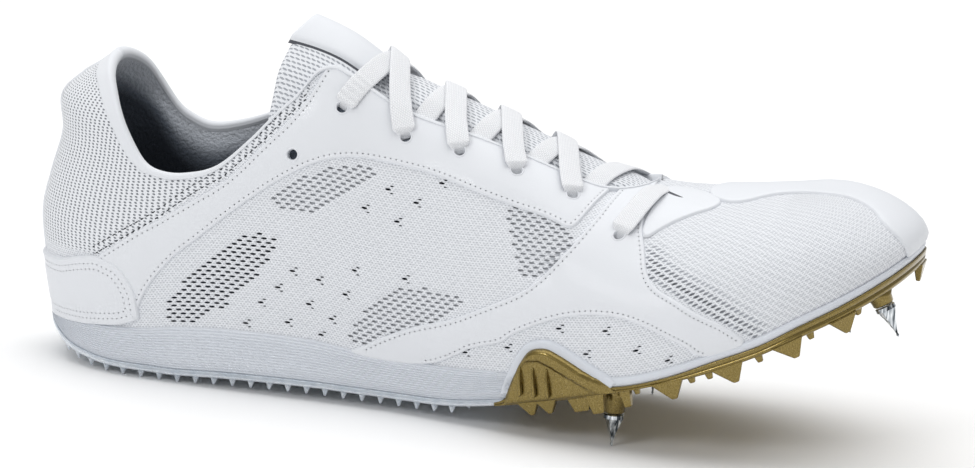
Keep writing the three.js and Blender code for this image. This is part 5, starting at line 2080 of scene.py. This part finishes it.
def rim_material():
    material, tree, shader = new_material("rim_cloth", WHITE, 0.7, Sheen_Weight=0.3)
    # Darker at the band's outer foot for the seam line; past the roll the colour drops to the lining's top
    # colour, running on into the lining's darkening, which is partly painted shade
    tint(tree, shader, share_of(tree, "across"), (0, (0.5, 0.52, 0.56)), (0.03, WHITE), (0.55, WHITE),
         (1, (0.58, 0.61, 0.66)))
    add_grain(tree, shader, 0.4 * MM, 0.05 * MM, 0.7)
    return material


def foam_material():
    material, tree, shader = new_material("foam", (0.66, 0.69, 0.74), 0.5, Coat_Weight=0.15)
    shader.inputs["Subsurface Weight"].default_value = 0.15
    shader.inputs["Subsurface Radius"].default_value = (1, 1, 1)
    shader.inputs["Subsurface Scale"].default_value = 1.0 * MM
    add_grain(tree, shader, 0.4 * MM, 0.015 * MM, 0.4)
    return material


def rubber_material():
    material, tree, shader = new_material("rubber", (0.6, 0.66, 0.73), 0.32, Coat_Weight=0.2)
    shader.inputs["Transmission Weight"].default_value = 0.35
    tint(tree, shader, grain(tree, 2.5 * MM), (0.3, (0.55, 0.62, 0.7)), (0.7, (0.7, 0.75, 0.81)))
    add_grain(tree, shader, 0.5 * MM, 0.04 * MM, 0.6)
    return material


def gold_material():
    material, tree, shader = new_material("gold_plate", (0.22, 0.16, 0.05), 0.3, Metallic=0.9,
                                          Coat_Weight=0.4)
    flakes = grain(tree, 0.28 * MM, 1.0)
    tint(tree, shader, flakes, (0.3, (0.165, 0.118, 0.03)), (0.52, (0.22, 0.16, 0.042)),
         (0.75, (0.31, 0.235, 0.08)))
    rough = color_between(tree, flakes, (0.3, (0.36, 0.36, 0.36)), (0.7, (0.24, 0.24, 0.24)))
    tree.links.new(rough, shader.inputs["Roughness"])
    add_bump(tree, shader, flakes, 0.02 * MM, 0.5)
    return material


def steel_material():
    material, tree, shader = new_material("steel", (0.42, 0.45, 0.48), 0.16, Metallic=1.0)
    streaks = grain(tree, 0.9 * MM, 2.0, (1, 1, 0.12))
    tint(tree, shader, streaks, (0.38, (0.06, 0.07, 0.08)), (0.5, (0.4, 0.43, 0.46)),
         (0.62, (0.85, 0.88, 0.9)))
    add_grain(tree, shader, 0.3 * MM, 0.015 * MM, 0.6, 2.0, (1, 1, 0.15))
    return material


def insole_material():
    material, tree, shader = new_material("insole_fabric", (0.3, 0.33, 0.37), 0.9, Sheen_Weight=0.2)
    tint(tree, shader, grain(tree, 0.6 * MM), (0.35, (0.12, 0.135, 0.155)), (0.65, (0.2, 0.22, 0.25)))
    add_grain(tree, shader, 0.5 * MM, 0.1 * MM, 0.8)
    return material


# Camera, lights and floor
AZIMUTH, ELEVATION, ROLL = math.radians(13), math.radians(13), math.radians(4.2)
CAMERA_DISTANCE = 1.5
CLIP_RANGE = (0.05, 50)
CAMERA_TARGET = Vector((0.105, 0, 0.0532))
IMAGE_WIDTH = 975
FOCAL_PIXELS = 4800
SENSOR_WIDTH = 36


def build_camera():
    data = bpy.data.cameras.new("camera")
    data.sensor_width = SENSOR_WIDTH
    data.lens = SENSOR_WIDTH * FOCAL_PIXELS / IMAGE_WIDTH
    back = Vector((math.sin(AZIMUTH) * math.cos(ELEVATION), -math.cos(AZIMUTH) * math.cos(ELEVATION),
                   math.sin(ELEVATION)))
    right = Vector((math.cos(AZIMUTH), math.sin(AZIMUTH), 0))
    up = back.cross(right)
    turned_right = math.cos(ROLL) * right + math.sin(ROLL) * up
    turned_up = math.cos(ROLL) * up - math.sin(ROLL) * right
    camera = bpy.data.objects.new("camera", data)
    matrix = Matrix((turned_right, turned_up, back)).transposed().to_4x4()
    matrix.translation = CAMERA_TARGET + back * CAMERA_DISTANCE
    camera.matrix_world = matrix
    data.clip_start, data.clip_end = CLIP_RANGE
    bpy.context.scene.collection.objects.link(camera)
    bpy.context.scene.camera = camera


def build_light(name, place, size, power):
    data = bpy.data.lights.new(name, "AREA")
    data.shape = "RECTANGLE"
    data.size, data.size_y = size
    data.energy = power
    light = bpy.data.objects.new(name, data)
    light.location = place
    light.rotation_mode = "QUATERNION"
    light.rotation_quaternion = (Vector(place) - CAMERA_TARGET).to_track_quat("Z", "Y")
    bpy.context.scene.collection.objects.link(light)


WORLD_STRENGTH = 0.42
FLOOR_HALF = 12
# Place, size and power of each light
LIGHTS = (
    ("overhead", (0.1, 0.4, 1.8), (3.0, 3.0), 43), ("key", (-0.45, -1.3, 0.9), (0.5, 0.4), 5.5),
)


def build_studio():
    world = bpy.data.worlds.new("studio")
    world.use_nodes = True
    background = world.node_tree.nodes["Background"]
    background.inputs["Color"].default_value = (1, 1, 1, 1)
    background.inputs["Strength"].default_value = WORLD_STRENGTH
    bpy.context.scene.world = world
    bpy.context.scene.view_settings.view_transform = "Standard"
    for light in LIGHTS:
        build_light(*light)
    mesh = bpy.data.meshes.new("floor")
    corners = [(-FLOOR_HALF, -FLOOR_HALF, 0), (FLOOR_HALF, -FLOOR_HALF, 0),
               (FLOOR_HALF, FLOOR_HALF, 0), (-FLOOR_HALF, FLOOR_HALF, 0)]
    mesh.from_pydata(corners, [], [(0, 1, 2, 3)])
    mesh.materials.append(new_material("floor", (0.96, 0.96, 0.96), 0.9)[0])
    floor = bpy.data.objects.new("floor", mesh)
    bpy.context.scene.collection.objects.link(floor)


def build_upper():
    overlay = overlay_material()
    cloth = build_cloth(cloth_material(), heel_mesh_material())
    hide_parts("upper")
    for piece in (build_rim(rim_material()), build_lining(lining_material()),
                  build_backing(overlay_material("backing", (0.56, 0.58, 0.62), 0.9))):
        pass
    for side, word in ((-1, "lateral"), (1, "medial")):
        for name, outline in (("eyestay", EYESTAY), ("strap", STRAP)):
            panel = build_panel(f"{name}_{word}_cover", outline, side, overlay)
            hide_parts(f"{name}_{word}")
    for piece, node in ((build_counter(overlay), "heel_counter"), (build_toe_cap(overlay), "toe_cap"),
                        (build_vamp_patch(overlay), "vamp_patch")):
        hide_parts(node)
    for piece in (build_eyelets(overlay), build_backstay(overlay)):
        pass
    tongue = build_tongue(tongue_material())
    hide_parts("tongue")
    build_tab(overlay_material("tab", WHITE, 0.6))
    # Near-black for painted shade: the painted shadow line round the tongue tab and the painted shade of
    # the lace slot
    dark = overlay_material("painted_shade_dark", (0.08, 0.085, 0.1), 0.9)
    build_tab_shadow(dark)
    build_lace_slot(dark)


def main():
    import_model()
    build_camera()
    build_upper()
    build_laces(lace_material())
    foam = foam_material()
    build_midsole(foam)
    build_wing_rim(foam)
    build_outsole(rubber_material())
    build_plate(gold_material())
    steel = steel_material()
    for name, place, across, square in SPIKES:
        build_spike(name, place, across, square, steel)
    build_insole(insole_material())
    build_studio()


main()
